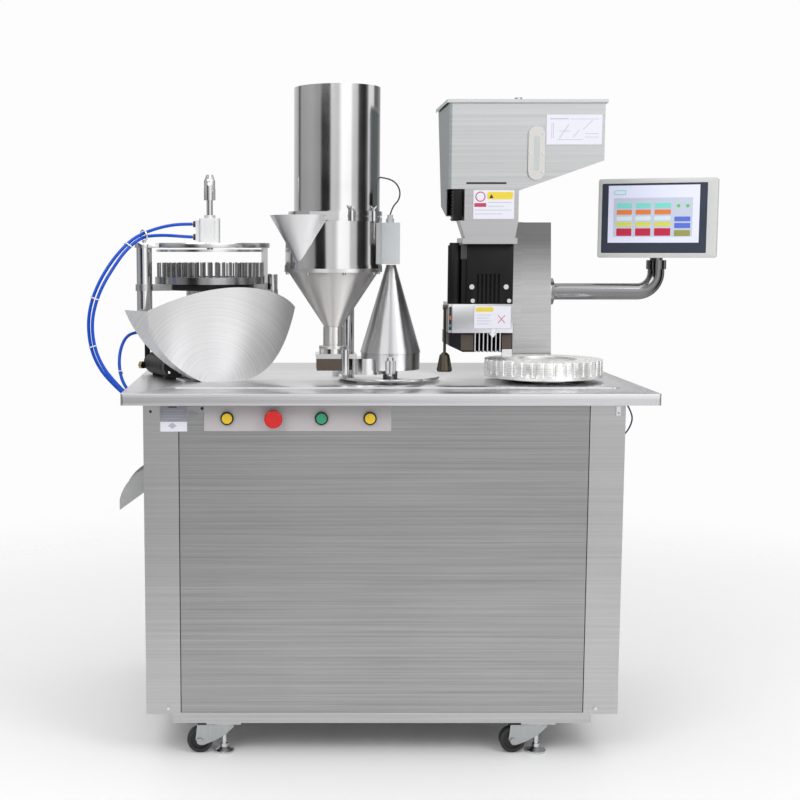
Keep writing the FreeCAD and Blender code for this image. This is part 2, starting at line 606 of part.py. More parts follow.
def valve_block():
    """Black closing cylinder lying on the table, with its rear fittings."""
    body = rod(VALVE_BACK, VALVE_FRONT, VALVE_R)
    feet = [cylinder(x, y, TABLE_H, 870, 14) for x, y in ((-558, 36), (-518, -60))]
    head = rod((-578, 85, 881), VALVE_BACK, 22)
    x, y, z = HOSE_VALVE[0]
    port = cylinder(x + 18, y + 8, 881, z + 6, 7)
    fitting = join(rod((x, y, z), (x + 18, y + 8, z), 6.5), port, rod((-600, 58, 874), (-575, 72, 876), 9))
    return join(body, head, fitting, *feet)


# ---- powder station -----------------------------------------------------------------------------
def clamp_places():
    """Where the two wing bolts of the clamp flange stand."""
    for angle in (-72, -38):
        yield (POWDER_X + 4 + 112 * math.cos(math.radians(angle)), POWDER_Y + 112 * math.sin(math.radians(angle)))


COVER_TOP = 1550


def motor_cover():
    """Tall polished cover on a two-ring clamp flange."""
    shell = cylinder(COVER_X, POWDER_Y, 1258, COVER_TOP, 103).cut(
        cylinder(COVER_X, POWDER_Y, 1250, COVER_TOP - 3, 101))
    x = POWDER_X + 4
    flange = join(cylinder(x, POWDER_Y, 1234, 1258, 109), cylinder(x, POWDER_Y, 1234, 1244, 113),
                  cylinder(x, POWDER_Y, 1247, 1258, 113))
    latch = box(-178, -110, POWDER_Y - 124, POWDER_Y - 90, 1236, 1256)
    lugs = [cylinder(x, y, 1234, 1258, 9) for x, y in clamp_places()]
    seat = cylinder(POWDER_X, POWDER_Y, 1220, 1270, 13)
    return join(shell, flange, latch, *lugs).cut(seat)


CHAMBER_RIM_R = 118
FUNNEL_X, FUNNEL_Y, FUNNEL_R, FUNNEL_TIP_R = -193, -174, 78, 9
FUNNEL_Z = (1131, 1248)


def powder_chamber():
    """Round chamber with a conical filling funnel let into its front left wall."""
    outer = cylinder(POWDER_X, POWDER_Y, 1131, 1234, 116)
    hollow = cylinder(POWDER_X, POWDER_Y, 1120, 1240, 113)
    rim = cylinder(POWDER_X, POWDER_Y, 1123, 1131, CHAMBER_RIM_R)
    z0, z1 = FUNNEL_Z
    cup = cone(FUNNEL_X, FUNNEL_Y, z0, z1, FUNNEL_TIP_R, FUNNEL_R)
    bowl = cone(FUNNEL_X, FUNNEL_Y, z0 + 3, z1, FUNNEL_TIP_R - 1, FUNNEL_R - 1.5)
    flange_gap = cylinder(POWDER_X + 4, POWDER_Y, 1233.9, 1260, 113.3)
    latch_gap = box(-178.5, -109, POWDER_Y - 125, POWDER_Y - 80, 1235.5, 1260)
    cup = cup.cut(flange_gap).cut(latch_gap)
    chamber = join(outer, rim, cup)
    return chamber.cut(hollow).cut(bowl)


def powder_cone():
    """Lower cone with its flange and the outlet tube."""
    x, y = POWDER_X, POWDER_Y
    flange = cylinder(x, y, 1114, 1123, CHAMBER_RIM_R)
    shell = cone(x, y, 982, 1114, 21.5, 109)
    outlet = join(cylinder(x, y, 929, 982, 24), cylinder(x, y, 929, 935, 34))
    ear = prism_z([(-96, 0), (-58, 0), (-58, 80), (-96, 80)], 1114, 1123)
    body = join(flange, shell, outlet, ear)
    hollow = join(cone(x, y, 982, 1114, 18.5, 106), cylinder(x, y, 920, 983, 18.5), cylinder(x, y, 1113, 1130, 106))
    return body.cut(hollow).cut(cylinder(STAND_X, STAND_Y, 1100, 1130, STAND_R))


def auger():
    """Shaft with a dosing screw in the outlet and stirring blades in the chamber."""
    x, y = POWDER_X, POWDER_Y
    shaft = cylinder(x, y, 934, 1257, 8)
    pitch, turns, z0 = 22, 5, 936
    helix = Part.makeHelix(pitch, pitch * turns, 8)
    blade = Part.Wire(Part.makePolygon([V(7, 0, -1.2), V(16.5, 0, -1.2), V(16.5, 0, 1.2), V(7, 0, 1.2), V(7, 0, -1.2)]))
    screw = Part.Wire(helix).makePipeShell([blade], True, True)
    screw.translate(V(x, y, z0))
    blades = []
    for z, reach in ((1068, 60), (1100, 82), (1150, 100), (1200, 100)):
        bar = rod((x - reach, y, z), (x + reach, y, z), 3)
        blades.append(turned(bar, x, y, z * 0.7))
    return join(shaft, screw, *blades)


STAND_X, STAND_Y, STAND_R = -74, 45, 15
DRUM = (-40, POWDER_Y - 5)
DRUM_R = 46
DRUM_Z = (868, 907)


def filling_stand():
    """Polished post on a foot, with the dosing shoe that the outlet stands on."""
    post = cylinder(STAND_X, STAND_Y, TABLE_H, 1123, STAND_R)
    foot = box(STAND_X - 40, STAND_X + 22, STAND_Y - 30, STAND_Y + 40, TABLE_H, TABLE_H + 14)
    arm = box(STAND_X - 14, STAND_X + 14, POWDER_Y, STAND_Y, 882, 904)
    block = box(-157, -86, POWDER_Y - 45, POWDER_Y + 35, 878, 907)
    drum = cylinder(*DRUM, *DRUM_Z, DRUM_R)
    plate = box(-160, -62, POWDER_Y - 45, POWDER_Y + 35, 907, 918)
    seat = cylinder(POWDER_X, POWDER_Y, 918, 929, 34)
    leg = cylinder(-90, POWDER_Y - 42, 868, 929, 10)
    return join(post, foot, arm, block, drum, plate, seat, leg)


def level_box():
    """Powder level sensor on the right of the chamber, with its cable gland."""
    body = box(-8, 41, -128, -76, 1133, 1232).cut(cylinder(POWDER_X, POWDER_Y, 1120, 1250, 116.2))
    gland = join(hexagon(19, -100, 1232, 1242, 17), cylinder(19, -100, 1242, 1251, 7))
    return join(body, gland)


def filling_disc():
    """Turntable with its spindle and the clamps that hold the tall cone."""
    disc = cylinder(DISC_X, DISC_Y, DISC_Z0, DISC_Z1, DISC_R)
    spindle = cylinder(DISC_X, DISC_Y, 790, DISC_Z0, SPINDLE_R)
    bore = cylinder(DISC_X, DISC_Y, 780, 832, MOTOR_SHAFT_R + RUNNING)
    return join(disc, spindle).cut(bore)


CONE_X, CONE_R = 23, 73.5


def dosing_cone():
    """Tall polished guide cone on a short skirt, fixed to the dosing drum, with its clamp knob."""
    x, y = CONE_X, DISC_Y
    shell = cone(x, y, 919, 1131, CONE_R, 11.5).cut(cone(x, y, 918.9, 1125, CONE_R - 2, 10.5))
    skirt = tube(x, y, 878, 919, CONE_R - 2, CONE_R - 5)
    floor = cylinder(x, y, 913, 919, CONE_R - 4)
    hub = cylinder(x, y, DISC_Z1 + 0.5, 914, 18)
    knob_y = y - 88
    lobes = [cylinder(kx, ky, 874, 904, 5) for kx, ky in ring_places(x - 7, knob_y, 8, 5)]
    knob = join(cylinder(x - 7, knob_y, 868, 912, 8), *lobes)
    link = box(x - 12, x - 2, knob_y, y - 66, 884, 892)
    body = join(shell, skirt, floor, hub, knob, link)
    return body.cut(cylinder(*DRUM, *DRUM_Z, DRUM_R)).cut(cylinder(POWDER_X, POWDER_Y, 1110, 1131, CHAMBER_RIM_R + CLEAR))


# ---- loading station ------------------------------------------------------------------------------
HOPPER_Y0, HOPPER_Y1 = -140, 95
HOPPER_TOP = 1518
HOPPER_FRONT = [(154, HOPPER_TOP), (523, HOPPER_TOP), (523, 1378), (322, 1307), (316, 1237), (154, 1237)]
HOPPER_SIDE = [(HOPPER_Y0, HOPPER_TOP), (HOPPER_Y1, HOPPER_TOP), (11, 1274), (HOPPER_Y0, 1237)]
HOPPER_FLOOR = 1311                             # top of the throat
THROAT_X, THROAT_BACK = (190, 318), -98
THROAT_Y0 = -162
BLOCK_Y0 = -167
LID_Z = HOPPER_TOP + CLEAR
LID_T = 2
LID_HINGE_Y = HOPPER_Y1 + 7
LID_PIN_R = 1.5
LID_LUG_X = ((156, 166), (509, 519))


def oblong(x, z0, z1, r, y0, y1):
    """Upright block with round ends, facing the front."""
    ends = [rod((x, y0, z), (x, y1, z), r) for z in (z0, z1)]
    return join(box(x - r, x + r, y0, y1, z0, z1), *ends)


def hopper():
    """Sheet hopper with sloping back and right floor, standing behind the throat."""
    depth = (HOPPER_Y0 - 1, HOPPER_Y1 + 1)
    width = (HOPPER_FRONT[0][0] - 1, HOPPER_FRONT[1][0] + 1)
    outer = prism_y(HOPPER_FRONT, *depth).common(prism_x(HOPPER_SIDE, *width))
    inner = prism_y(inset(HOPPER_FRONT, SHEET), *depth).common(prism_x(inset(HOPPER_SIDE, SHEET), *width))
    mouth = box(HOPPER_FRONT[0][0] + SHEET, HOPPER_FRONT[1][0] - SHEET, HOPPER_Y0 + SHEET, HOPPER_Y1 - 3 * SHEET,
                HOPPER_TOP - 3 * SHEET, HOPPER_TOP + 1)
    body = outer.cut(inner).cut(mouth)
    notch = box(150, THROAT_X[1] + CLEAR, HOPPER_Y0 - 1, THROAT_BACK, 1230, HOPPER_FLOOR)
    ledge = box(154, THROAT_X[0] + 3, HOPPER_Y0, THROAT_BACK + SHEET, HOPPER_FLOOR, HOPPER_FLOOR + SHEET)
    window = oblong(361.5, 1352, 1438, 20.5, HOPPER_Y0 - 3, HOPPER_Y0)
    slot = oblong(361.5, 1360, 1430, 6.5, HOPPER_Y0 - 5, HOPPER_Y0 - 1)
    lugs = [box(x0, x1, HOPPER_Y1 - 4, LID_HINGE_Y + 4, HOPPER_TOP - 10, LID_Z + 4) for x0, x1 in LID_LUG_X]
    pin = rod((LID_LUG_X[0][1], LID_HINGE_Y, LID_Z), (LID_LUG_X[1][0], LID_HINGE_Y, LID_Z), LID_PIN_R)
    lid_room = box(0, 600, HOPPER_Y1 - 20, HOPPER_Y1 + 2.5, HOPPER_TOP, 1600)
    lugs = [lug.cut(lid_room) for lug in lugs]
    return join(body.cut(notch), ledge, window, pin, *lugs).cut(slot)


def hopper_lid():
    """Flat lid with a turned-down rim, lifting about its back edge by a small knob."""
    x0, x1 = 148, 529
    y0, y1 = HOPPER_Y0 - 6, HOPPER_Y1 + 1
    barrel_x = (LID_LUG_X[0][1] + CLEAR, LID_LUG_X[1][0] - CLEAR)
    top_z = LID_Z + LID_T
    top = box(x0, x1, y0, y1, LID_Z, top_z)
    tail = box(*barrel_x, y1, LID_HINGE_Y, LID_Z, top_z)
    rim = box(x0, x1, y0, y1, LID_Z - 6, LID_Z).cut(
        box(x0 + 1.5, x1 - 1.5, y0 + 1.5, y1 + 1, LID_Z - 8, LID_Z + 1))
    knob = join(cylinder(337, -20, top_z, top_z + 9, 5), cylinder(337, -20, top_z + 9, top_z + 17, 9))
    barrel = rod((barrel_x[0], LID_HINGE_Y, LID_Z), (barrel_x[1], LID_HINGE_Y, LID_Z), 3.5)
    bore = rod((0, LID_HINGE_Y, LID_Z), (600, LID_HINGE_Y, LID_Z), LID_PIN_R + RUNNING)
    return join(top, tail, rim, knob, barrel).cut(bore)


def throat():
    """Chute from the hopper to the magazine: a box, a tapering foot and its bolted flange."""
    x0, x1 = THROAT_X
    back = THROAT_BACK
    body = box(x0, x1, THROAT_Y0, back, 1235, HOPPER_FLOOR)
    foot = prism_y([(179, 1236), (x1, 1236), (311, 1194), (193, 1194)], THROAT_Y0, back)
    flange = box(186, 316, THROAT_Y0 - 3, -60, 1181, 1195)
    chute = box(x0 + 3, x1 - 3, THROAT_Y0 + 3, back - 3, 1236, HOPPER_FLOOR - 3)
    entry = box(x0 + 3, x1 - 3, HOPPER_Y0 + 3, back - 3, 1300, HOPPER_FLOOR + 1)
    way_down = box(200, 305, THROAT_Y0 + 10, back - 6, 1180, 1240)
    return join(body, foot, flange).cut(chute).cut(entry).cut(way_down)


SLOT_X = [224 + 10 * k for k in range(6)]


def magazine():
    """Black slotted magazine with guide cylinder, side bar and ribbed brush block."""
    block = box(200, 311, -145, 20, 1038.5, 1181)
    for x in SLOT_X:
        block = block.cut(box(x, x + 5, -146, -138, 1040, 1110))
        block = block.cut(cylinder(x + 2.5, -120, 1030, 1190, 4))
    bar = box(188, 200, -140, -20, 1038.5, 1145)
    guide = join(cylinder(172.5, -122, 1038.5, 1178, 15.5), cylinder(172.5, -122, 1178, 1184, 12))
    link = box(172.5, 188, -110, -40, 1050, 1130)
    ribs = [box(164, 166, -152, -100, 1238 + 8 * k, 1242 + 8 * k) for k in range(9)]
    brush = join(box(166, 186, -150, -100, 1236, 1309), *ribs)
    return group(join(block, bar, guide, link), brush)


GROOVE_X = (225, 245)


def rectifier():
    """Silver capsule turning block with a slotted end piece on the left."""
    body = box(164, 309, BLOCK_Y0, 20, 970, 1038.5)
    for x in SLOT_X:
        body = body.cut(cylinder(x + 2.5, -120, 960, 1050, 4))
    body = body.cut(box(GROOVE_X[0] - CLEAR, GROOVE_X[1] + CLEAR, -150.5, 21, 969, 980 + CLEAR))
    end = box(156, 164, -160, -90, 970, 1038.5)
    end = end.cut(rod((150, -125, 1030), (170, -125, 1030), 4 + RUNNING))
    return join(body, end)


COMB_Z = (923, 970 - CLEAR)


def pusher_comb():
    """Dark comb that slides back and forth under the turning block on a tongue."""
    z0, z1 = COMB_Z
    comb = prism_y([(160, z1), (311, z1), (311, z0), (192, z0), (160, 938)], -150, -2)
    for x in SLOT_X:
        comb = comb.cut(box(x, x + 5, -151, -110, z0 - 1, z1 + 1))
    tongue = box(GROOVE_X[0], GROOVE_X[1], -150, -2, z1, 980)
    tongue = tongue.cut(join(*[box(x, x + 5, -151, -110, z1 - 1, 990) for x in SLOT_X]))
    bracket = box(286, 310, -152, -147, 912, 930)
    return join(comb, tongue, bracket)


def loading_lever():
    """Hanging release lever with a tapered handle."""
    x, y, top = 151.5, -125, 1030
    pivot = join(rod((146, y, top), (155.5, y, top), 6), rod((155, y, top), (163.9, y, top), 4))
    shaft = cylinder(x, y, 918, top, 3.5)
    grip = join(cone(x, y, 878, 914, 19, 12), cone(x, y, 914, 920, 12, 6), cone(x, y, 874, 878, 17, 19))
    return join(pivot, shaft, grip)


def column():
    """Brushed box column with the arm that the loading head bolts to and the seat of the pipe arm."""
    column_x = [(346, TABLE_H + 8), (445, TABLE_H + 8), (437, 1236), (352, 1236)]
    post = prism_y(column_x, 50, 150)
    foot = box(330, 459, 34, 166, TABLE_H, TABLE_H + 8)
    arm = box(222, 360, 20, 60, 982, 1236)
    seat = rod((425, PIPE_Y, PIPE_Z), (443, PIPE_Y, PIPE_Z), 34)
    return join(post, foot, arm, seat)


def mould_turntable():
    disc = cylinder(LOAD_X, LOAD_Y, DISC_Z0, DISC_Z1, 100)
    spigot = cylinder(LOAD_X, LOAD_Y, DISC_Z1, 880, 30)
    spindle = cylinder(LOAD_X, LOAD_Y, 790, DISC_Z0, SPINDLE_R)
    bore = cylinder(LOAD_X, LOAD_Y, 780, 832, MOTOR_SHAFT_R + RUNNING)
    return join(disc, spigot, spindle).cut(bore)


MOULD_R = 142
SCALLOPS = 36


def mould_ring():
    """Two capsule mould rings, one on the other, with scalloped rims and rows of pockets."""
    lower = tube(LOAD_X, LOAD_Y, DISC_Z1, 882, MOULD_R, 80)
    upper = tube(LOAD_X, LOAD_Y, 882, 904, MOULD_R, 80)
    hub = tube(LOAD_X, LOAD_Y, DISC_Z1, 882, 82, 30 + CLEAR)
    notches = [cylinder(x, y, 870, 910, 5) for x, y in ring_places(LOAD_X, LOAD_Y, MOULD_R + 2, SCALLOPS)]
    pockets = [cylinder(x, y, 890, 910, 4) for radius, count in ((96, 24), (110, 24), (124, 24))
               for x, y in ring_places(LOAD_X, LOAD_Y, radius, count)]
    cutter = notches[0].multiFuse(notches[1:] + pockets)
    return group(join(lower, hub).cut(cutter), upper.cut(cutter))


# ---- touch screen -----------------------------------------------------------------------------------
def hmi_pipe():
    """Pipe arm from the column, an elbow and the fixed collar."""
    bend = 48
    r_in = PIPE_R - 2.5
    def run(radius):
        level = rod((443, PIPE_Y, PIPE_Z), (SCREEN_X - bend, PIPE_Y, PIPE_Z), radius)
        elbow = Part.makeTorus(bend, radius, V(SCREEN_X - bend, PIPE_Y, PIPE_Z + bend), V(0, 1, 0), 0, 360, 360)
        quarter = box(SCREEN_X - bend, SCREEN_X + 60, PIPE_Y - 50, PIPE_Y + 50, PIPE_Z - 60, PIPE_Z + bend)
        upright = cylinder(SCREEN_X, PIPE_Y, PIPE_Z + bend, 1120, radius)
        return join(level, elbow.common(quarter), upright)
    collar = join(cylinder(SCREEN_X, PIPE_Y, 1118, 1141, PIPE_R + 4), cylinder(SCREEN_X, PIPE_Y, 1141, 1147 - CLEAR, 16))
    flange = rod((443, PIPE_Y, PIPE_Z), (451, PIPE_Y, PIPE_Z), 34)
    bore = join(run(r_in), cylinder(SCREEN_X, PIPE_Y, 1110, 1150, 8))
    return join(run(PIPE_R), collar, flange).cut(bore)


def on_panel(shape):
    """Puts a shape drawn square to the panel, front face at y = 0, in its yawed place."""
    placed = shape.copy()
    placed.rotate(V(0, 0, 0), V(0, 0, 1), PANEL_YAW)
    placed.translate(V(PANEL_X, PANEL_Y, 0))
    return placed


SCREEN_FACE = (-137, 122, 1159, 1335)           # glass, in the panel's own x and z


def hmi_housing():
    half = PANEL_W / 2
    shell = box(-half, half, 0, PANEL_T, PANEL_Z, PANEL_Z + PANEL_H)
    across = [e for e in shell.Edges if abs(e.Vertexes[0].Y - e.Vertexes[-1].Y) > 0.9 * e.Length]
    shell = shell.makeFillet(6, across)
    x0, x1, z0, z1 = SCREEN_FACE
    shell = shell.cut(box(x0, x1, -1, 3, z0, z1))
    return on_panel(shell)


def hmi_screen():
    x0, x1, z0, z1 = SCREEN_FACE
    return on_panel(box(x0, x1, 1, 3, z0, z1))


# ---- fasteners ------------------------------------------------------------------------------------------
def wing_nut(x, y, z):
    wings = [prism_y([(x + s * 2, z + 3), (x + s * 7, z + 9), (x + s * 7, z + 13), (x + s * 2, z + 8)], y - 4, y)
             for s in (-1, 1)]
    return join(cylinder(x, y, z, z + 8, 4.5), *wings)


def fasteners():
    """Visible screws, bolts and wing nuts, and the earth terminal."""
    pieces = []
    for x, z in ((346, 1440), (377, 1440), (346, 1395), (377, 1395), (346, 1350), (377, 1350)):
        pieces.append(rod((x, HOPPER_Y0 - 6, z), (x, HOPPER_Y0 - 3, z), 3.2))
    for x, z in ((212, 1079), (294, 1079)):
        pieces.append(rod((x, -149, z), (x, -145, z), 6))
    for x in (214, 301):
        pieces.append(rod((x, -153, 1046), (x, -145, 1046), 5))
    for x, y in ring_places(POWDER_X, POWDER_Y, CHAMBER_RIM_R - 4.5, 8, start=11):
        pieces.append(cylinder(x, y, 1108, 1114, 3.5))
    for x, y in clamp_places():
        pieces.append(wing_nut(x, y, 1258))
    for x in (-503, 480):
        pieces.append(rod((x, Y0 - 3, 118), (x, Y0, 118), 4))
    lug = box(509, 519, Y0 - 2, Y0, 797, 818).cut(rod((514, Y0 - 3, 803), (514, Y0 + 1, 803), 2.5))
    return group(*pieces, lug)


# ---- all nodes -----------------------------------------------------------------------------------------------
def build():
    nodes = {
        "base_frame": base_frame(), "frame_members": frame_members(), "front_panel": front_panel(),
        "side_panels": side_panels(), "rear_door": rear_door(), "tabletop": tabletop(),
        "faceplates": faceplates(), "button_bezels": button_bezels(), "outlet_chute": outlet_chute(),
        "levelling_feet": levelling_feet(), "gear_motors": gear_motors(), "vacuum_pump": vacuum_pump(),
        "electrical_box": electrical_box(), "lock_pedestal": lock_pedestal(), "lock_posts": lock_posts(),
        "lock_top_plate": lock_top_plate(), "lock_cylinder": lock_cylinder(), "press_rod": press_rod(),
        "pin_ring": pin_ring(), "scoop": scoop(), "valve_block": valve_block(), "motor_cover": motor_cover(),
        "powder_chamber": powder_chamber(), "powder_cone": powder_cone(), "auger": auger(),
        "filling_stand": filling_stand(), "level_box": level_box(), "filling_disc": filling_disc(),
        "dosing_cone": dosing_cone(), "hopper": hopper(), "hopper_lid": hopper_lid(), "throat": throat(),
        "magazine": magazine(), "rectifier": rectifier(), "pusher_comb": pusher_comb(),
        "loading_lever": loading_lever(), "column": column(), "mould_turntable": mould_turntable(),
        "mould_ring": mould_ring(), "hmi_pipe": hmi_pipe(), "hmi_housing": hmi_housing(),
        "hmi_screen": hmi_screen(), "fasteners": fasteners(),
        "air_hose_upper": cord("air_hose_upper", HOSE_UPPER, HOSE_R),
        "air_hose_lower": cord("air_hose_lower", HOSE_LOWER, HOSE_R),
        "air_hose_valve": cord("air_hose_valve", HOSE_VALVE, HOSE_R),
        "motor_cable": cord("motor_cable", MOTOR_CABLE, MOTOR_CABLE_R),
        "earth_wire": cord("earth_wire", EARTH_WIRE, EARTH_WIRE_R),
    }
    for name, x, cap_r, depth, travel in BUTTONS:
        nodes[name] = button(x, cap_r, depth, travel)
    for side, x in zip(("left", "right"), CASTER_X):
        for end, y in zip(("front", "rear"), CASTER_Y):
            nodes[f"caster_fork_{end}_{side}"] = caster_fork(x, y)
            nodes[f"caster_wheel_{end}_{side}"] = caster_wheel(x, y)
    return nodes


CORDS = ("air_hose_upper", "air_hose_lower", "air_hose_valve", "motor_cable", "earth_wire")


def origin_of(nodes):
    """Centre of the rigid object's box, at the floor."""
    whole = FreeCAD.BoundBox()
    for name, shape in nodes.items():
        if name not in CORDS:
            whole.add(shape.optimalBoundingBox())
    return V((whole.XMin + whole.XMax) / 2, (whole.YMin + whole.YMax) / 2, whole.ZMin)


def main():
    nodes = build()
    origin = origin_of(nodes)
    print(f"origin in the drawing frame: {origin.x:.3f} {origin.y:.3f} {origin.z:.3f}")
    os.makedirs("parts", exist_ok=True)
    for name, shape in nodes.items():
        placed = shape.copy()
        placed.translate(origin * -1)
        if not placed.isValid() or not placed.Solids:
            print(f"{name}: not a valid solid")
        placed.exportStep(f"parts/{name}.step")
    print(f"{len(nodes)} nodes")


main()
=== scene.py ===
import math

import bmesh
import bpy
from mathutils import Matrix, Vector


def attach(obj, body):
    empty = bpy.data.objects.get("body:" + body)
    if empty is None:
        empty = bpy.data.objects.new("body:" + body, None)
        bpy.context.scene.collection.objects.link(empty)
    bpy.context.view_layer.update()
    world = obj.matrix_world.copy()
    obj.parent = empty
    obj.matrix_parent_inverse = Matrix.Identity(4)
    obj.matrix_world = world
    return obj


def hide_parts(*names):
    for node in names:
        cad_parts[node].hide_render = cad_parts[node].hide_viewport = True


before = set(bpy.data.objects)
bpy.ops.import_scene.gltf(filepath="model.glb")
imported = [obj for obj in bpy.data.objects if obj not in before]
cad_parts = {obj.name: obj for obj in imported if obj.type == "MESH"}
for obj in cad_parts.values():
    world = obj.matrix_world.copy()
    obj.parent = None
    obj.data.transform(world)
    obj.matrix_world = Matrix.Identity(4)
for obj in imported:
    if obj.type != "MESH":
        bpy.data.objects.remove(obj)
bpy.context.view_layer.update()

DRAWING_X = 0.113687                      # the row frame's origin in the drawing of part.py
X_AXIS, Z_AXIS = 0, 2                     # places of x and z in a coordinate


def at(x, y, z):
    """A point given in the drawing's millimetres, in the row frame."""
    return Vector((x / 1000 - DRAWING_X, y / 1000, z / 1000))


# ---- camera and light -------------------------------------------------------------------
SENSOR_WIDTH, LENS = 36.0, 60.48          # mm
SIDE_SHIFT = 0.14375                      # share of the picture's width, to the right
CAMERA_PLACE = (-0.348487, -3.3727, 1.1668)
CAMERA_TILT = 83.63                       # degrees up from straight down

# Name, place, the point it is aimed at, size, power in watts.
LIGHTS = [
    ("key", (-2.2, -3.4, 3.4), (0, 0, 0.9), (2.4, 2.4), 64),
    ("fill", (2.6, -2.8, 3.5), (0, 0, 0.9), (2.0, 2.2), 56),
    ("top", (0, 0.2, 4.2), (0, 0, 0.8), (5.0, 4.4), 58),
]


def add_camera():
    """The photograph's camera."""
    data = bpy.data.cameras.new("camera")
    data.sensor_width = SENSOR_WIDTH
    data.lens = LENS
    data.shift_x = SIDE_SHIFT
    camera = bpy.data.objects.new("camera", data)
    camera.location = CAMERA_PLACE
    camera.rotation_euler = (math.radians(CAMERA_TILT), 0, 0)
    bpy.context.scene.collection.objects.link(camera)
    bpy.context.scene.camera = camera


def add_light(name, place, aim, size, power):
    """A rectangular area light that faces a point."""
    data = bpy.data.lights.new(name, "AREA")
    data.shape = "RECTANGLE"
    data.size, data.size_y = size
    data.energy = power
    lamp = bpy.data.objects.new(name, data)
    lamp.location = place
    lamp.rotation_euler = (Vector(aim) - Vector(place)).to_track_quat("-Z", "Y").to_euler()
    bpy.context.scene.collection.objects.link(lamp)


# ---- node helpers -----------------------------------------------------------------------
def feed(tree, socket, value):
    """Join another node's output to a socket, or set the socket to a constant."""
    if isinstance(value, bpy.types.NodeSocket):
        tree.links.new(value, socket)
    else:
        socket.default_value = value


def add(tree, kind, sockets=None, **settings):
    """A new node with its settings and the values of its sockets."""
    made = tree.nodes.new(kind)
    for key, value in settings.items():
        setattr(made, key, value)
    for key, value in (sockets or {}).items():
        feed(tree, made.inputs[key], value)
    return made


def maths(tree, operation, *values):
    """The output of a math node."""
    made = tree.nodes.new("ShaderNodeMath")
    made.operation = operation
    for k, value in enumerate(values):
        feed(tree, made.inputs[k], value)
    return made.outputs[0]


def ramp(tree, factor, stops, interpolation="LINEAR"):
    """The output of a colour ramp with (place, grey or colour) stops."""
    made = tree.nodes.new("ShaderNodeValToRGB")
    tree.links.new(factor, made.inputs[0])
    points = made.color_ramp.elements
    made.color_ramp.interpolation = interpolation
    while len(points) < len(stops):
        points.new(0.5)
    for point, (place, value) in zip(points, stops):
        point.position = place
        point.color = (*value, 1) if isinstance(value, tuple) else (value, value, value, 1)
    return made.outputs[0]


def noise(tree, scale, detail):
    """The output of a noise that sits still in the object's own space."""
    place = add(tree, "ShaderNodeTexCoord").outputs["Object"]
    return add(tree, "ShaderNodeTexNoise", {"Vector": place, "Scale": scale, "Detail": detail}).outputs["Fac"]


def times(tree, color, tone):
    """A colour multiplied by a tone."""
    return add(tree, "ShaderNodeVectorMath", {0: color, 1: tone}, operation="MULTIPLY").outputs[0]


def roughen(tree, shader, height, strength, distance=0.0002):
    """Let a height, in steps of the given distance, tilt the surface."""
    bump = add(tree, "ShaderNodeBump", {"Strength": strength, "Distance": distance, "Height": height})
    tree.links.new(bump.outputs[0], shader.inputs["Normal"])


def new_material(name, color, metallic, roughness, **sockets):
    """A plain material, with its node tree and shader; other sockets are given by name."""
    material = bpy.data.materials.new(name)
    material.use_nodes = True
    shader = material.node_tree.nodes["Principled BSDF"]
    shader.inputs["Base Color"].default_value = (*color, 1)
    shader.inputs["Metallic"].default_value = metallic
    shader.inputs["Roughness"].default_value = roughness
    for key, value in sockets.items():
        shader.inputs[key.replace("_", " ")].default_value = value
    return material, material.node_tree, shader


def place_from(tree, centre):
    """The x, y and z of the shaded point, counted from a centre."""
    place = add(tree, "ShaderNodeTexCoord").outputs["Object"]
    shifted = add(tree, "ShaderNodeVectorMath", {0: place, 1: tuple(centre)}, operation="SUBTRACT").outputs[0]
    return add(tree, "ShaderNodeSeparateXYZ", {0: shifted}).outputs


def reach(tree, first, second):
    """The distance from the axis that two coordinates are measured across."""
    return maths(tree, "SQRT", maths(tree, "ADD", maths(tree, "MULTIPLY", first, first),
                                     maths(tree, "MULTIPLY", second, second)))


def brushing_coordinates(tree, style, centre):
    """Coordinates whose first axis runs along the brush lines, for one way of brushing."""
    x, y, z = place_from(tree, centre)
    straight = {"x": (x, y, z), "y": (y, x, z), "z": (z, x, y)}
    if style in straight:
        return add(tree, "ShaderNodeCombineXYZ", dict(enumerate(straight[style]))).outputs[0]
    first, second = (x, y) if style == "ring" else (x, z)
    radius = reach(tree, first, second)
    angle = maths(tree, "ARCTAN2", first, second)
    turn = maths(tree, "MULTIPLY", angle, 0.12)
    third = z if style == "ring" else 0.0
    return add(tree, "ShaderNodeCombineXYZ", {0: turn, 1: radius, 2: third}).outputs[0]


def streaks(tree, coordinates, along, across, detail=4.0):
    """A noise that is drawn out along the first axis."""
    mapping = add(tree, "ShaderNodeMapping", {"Vector": coordinates, "Scale": (along, across, across)})
    drawn = add(tree, "ShaderNodeTexNoise",
                {"Vector": mapping.outputs[0], "Scale": 1.0, "Detail": detail, "Roughness": 0.6})
    return drawn.outputs["Fac"]


BRUSH_ALONG = 3.0                         # how fast a brushed streak changes along its length


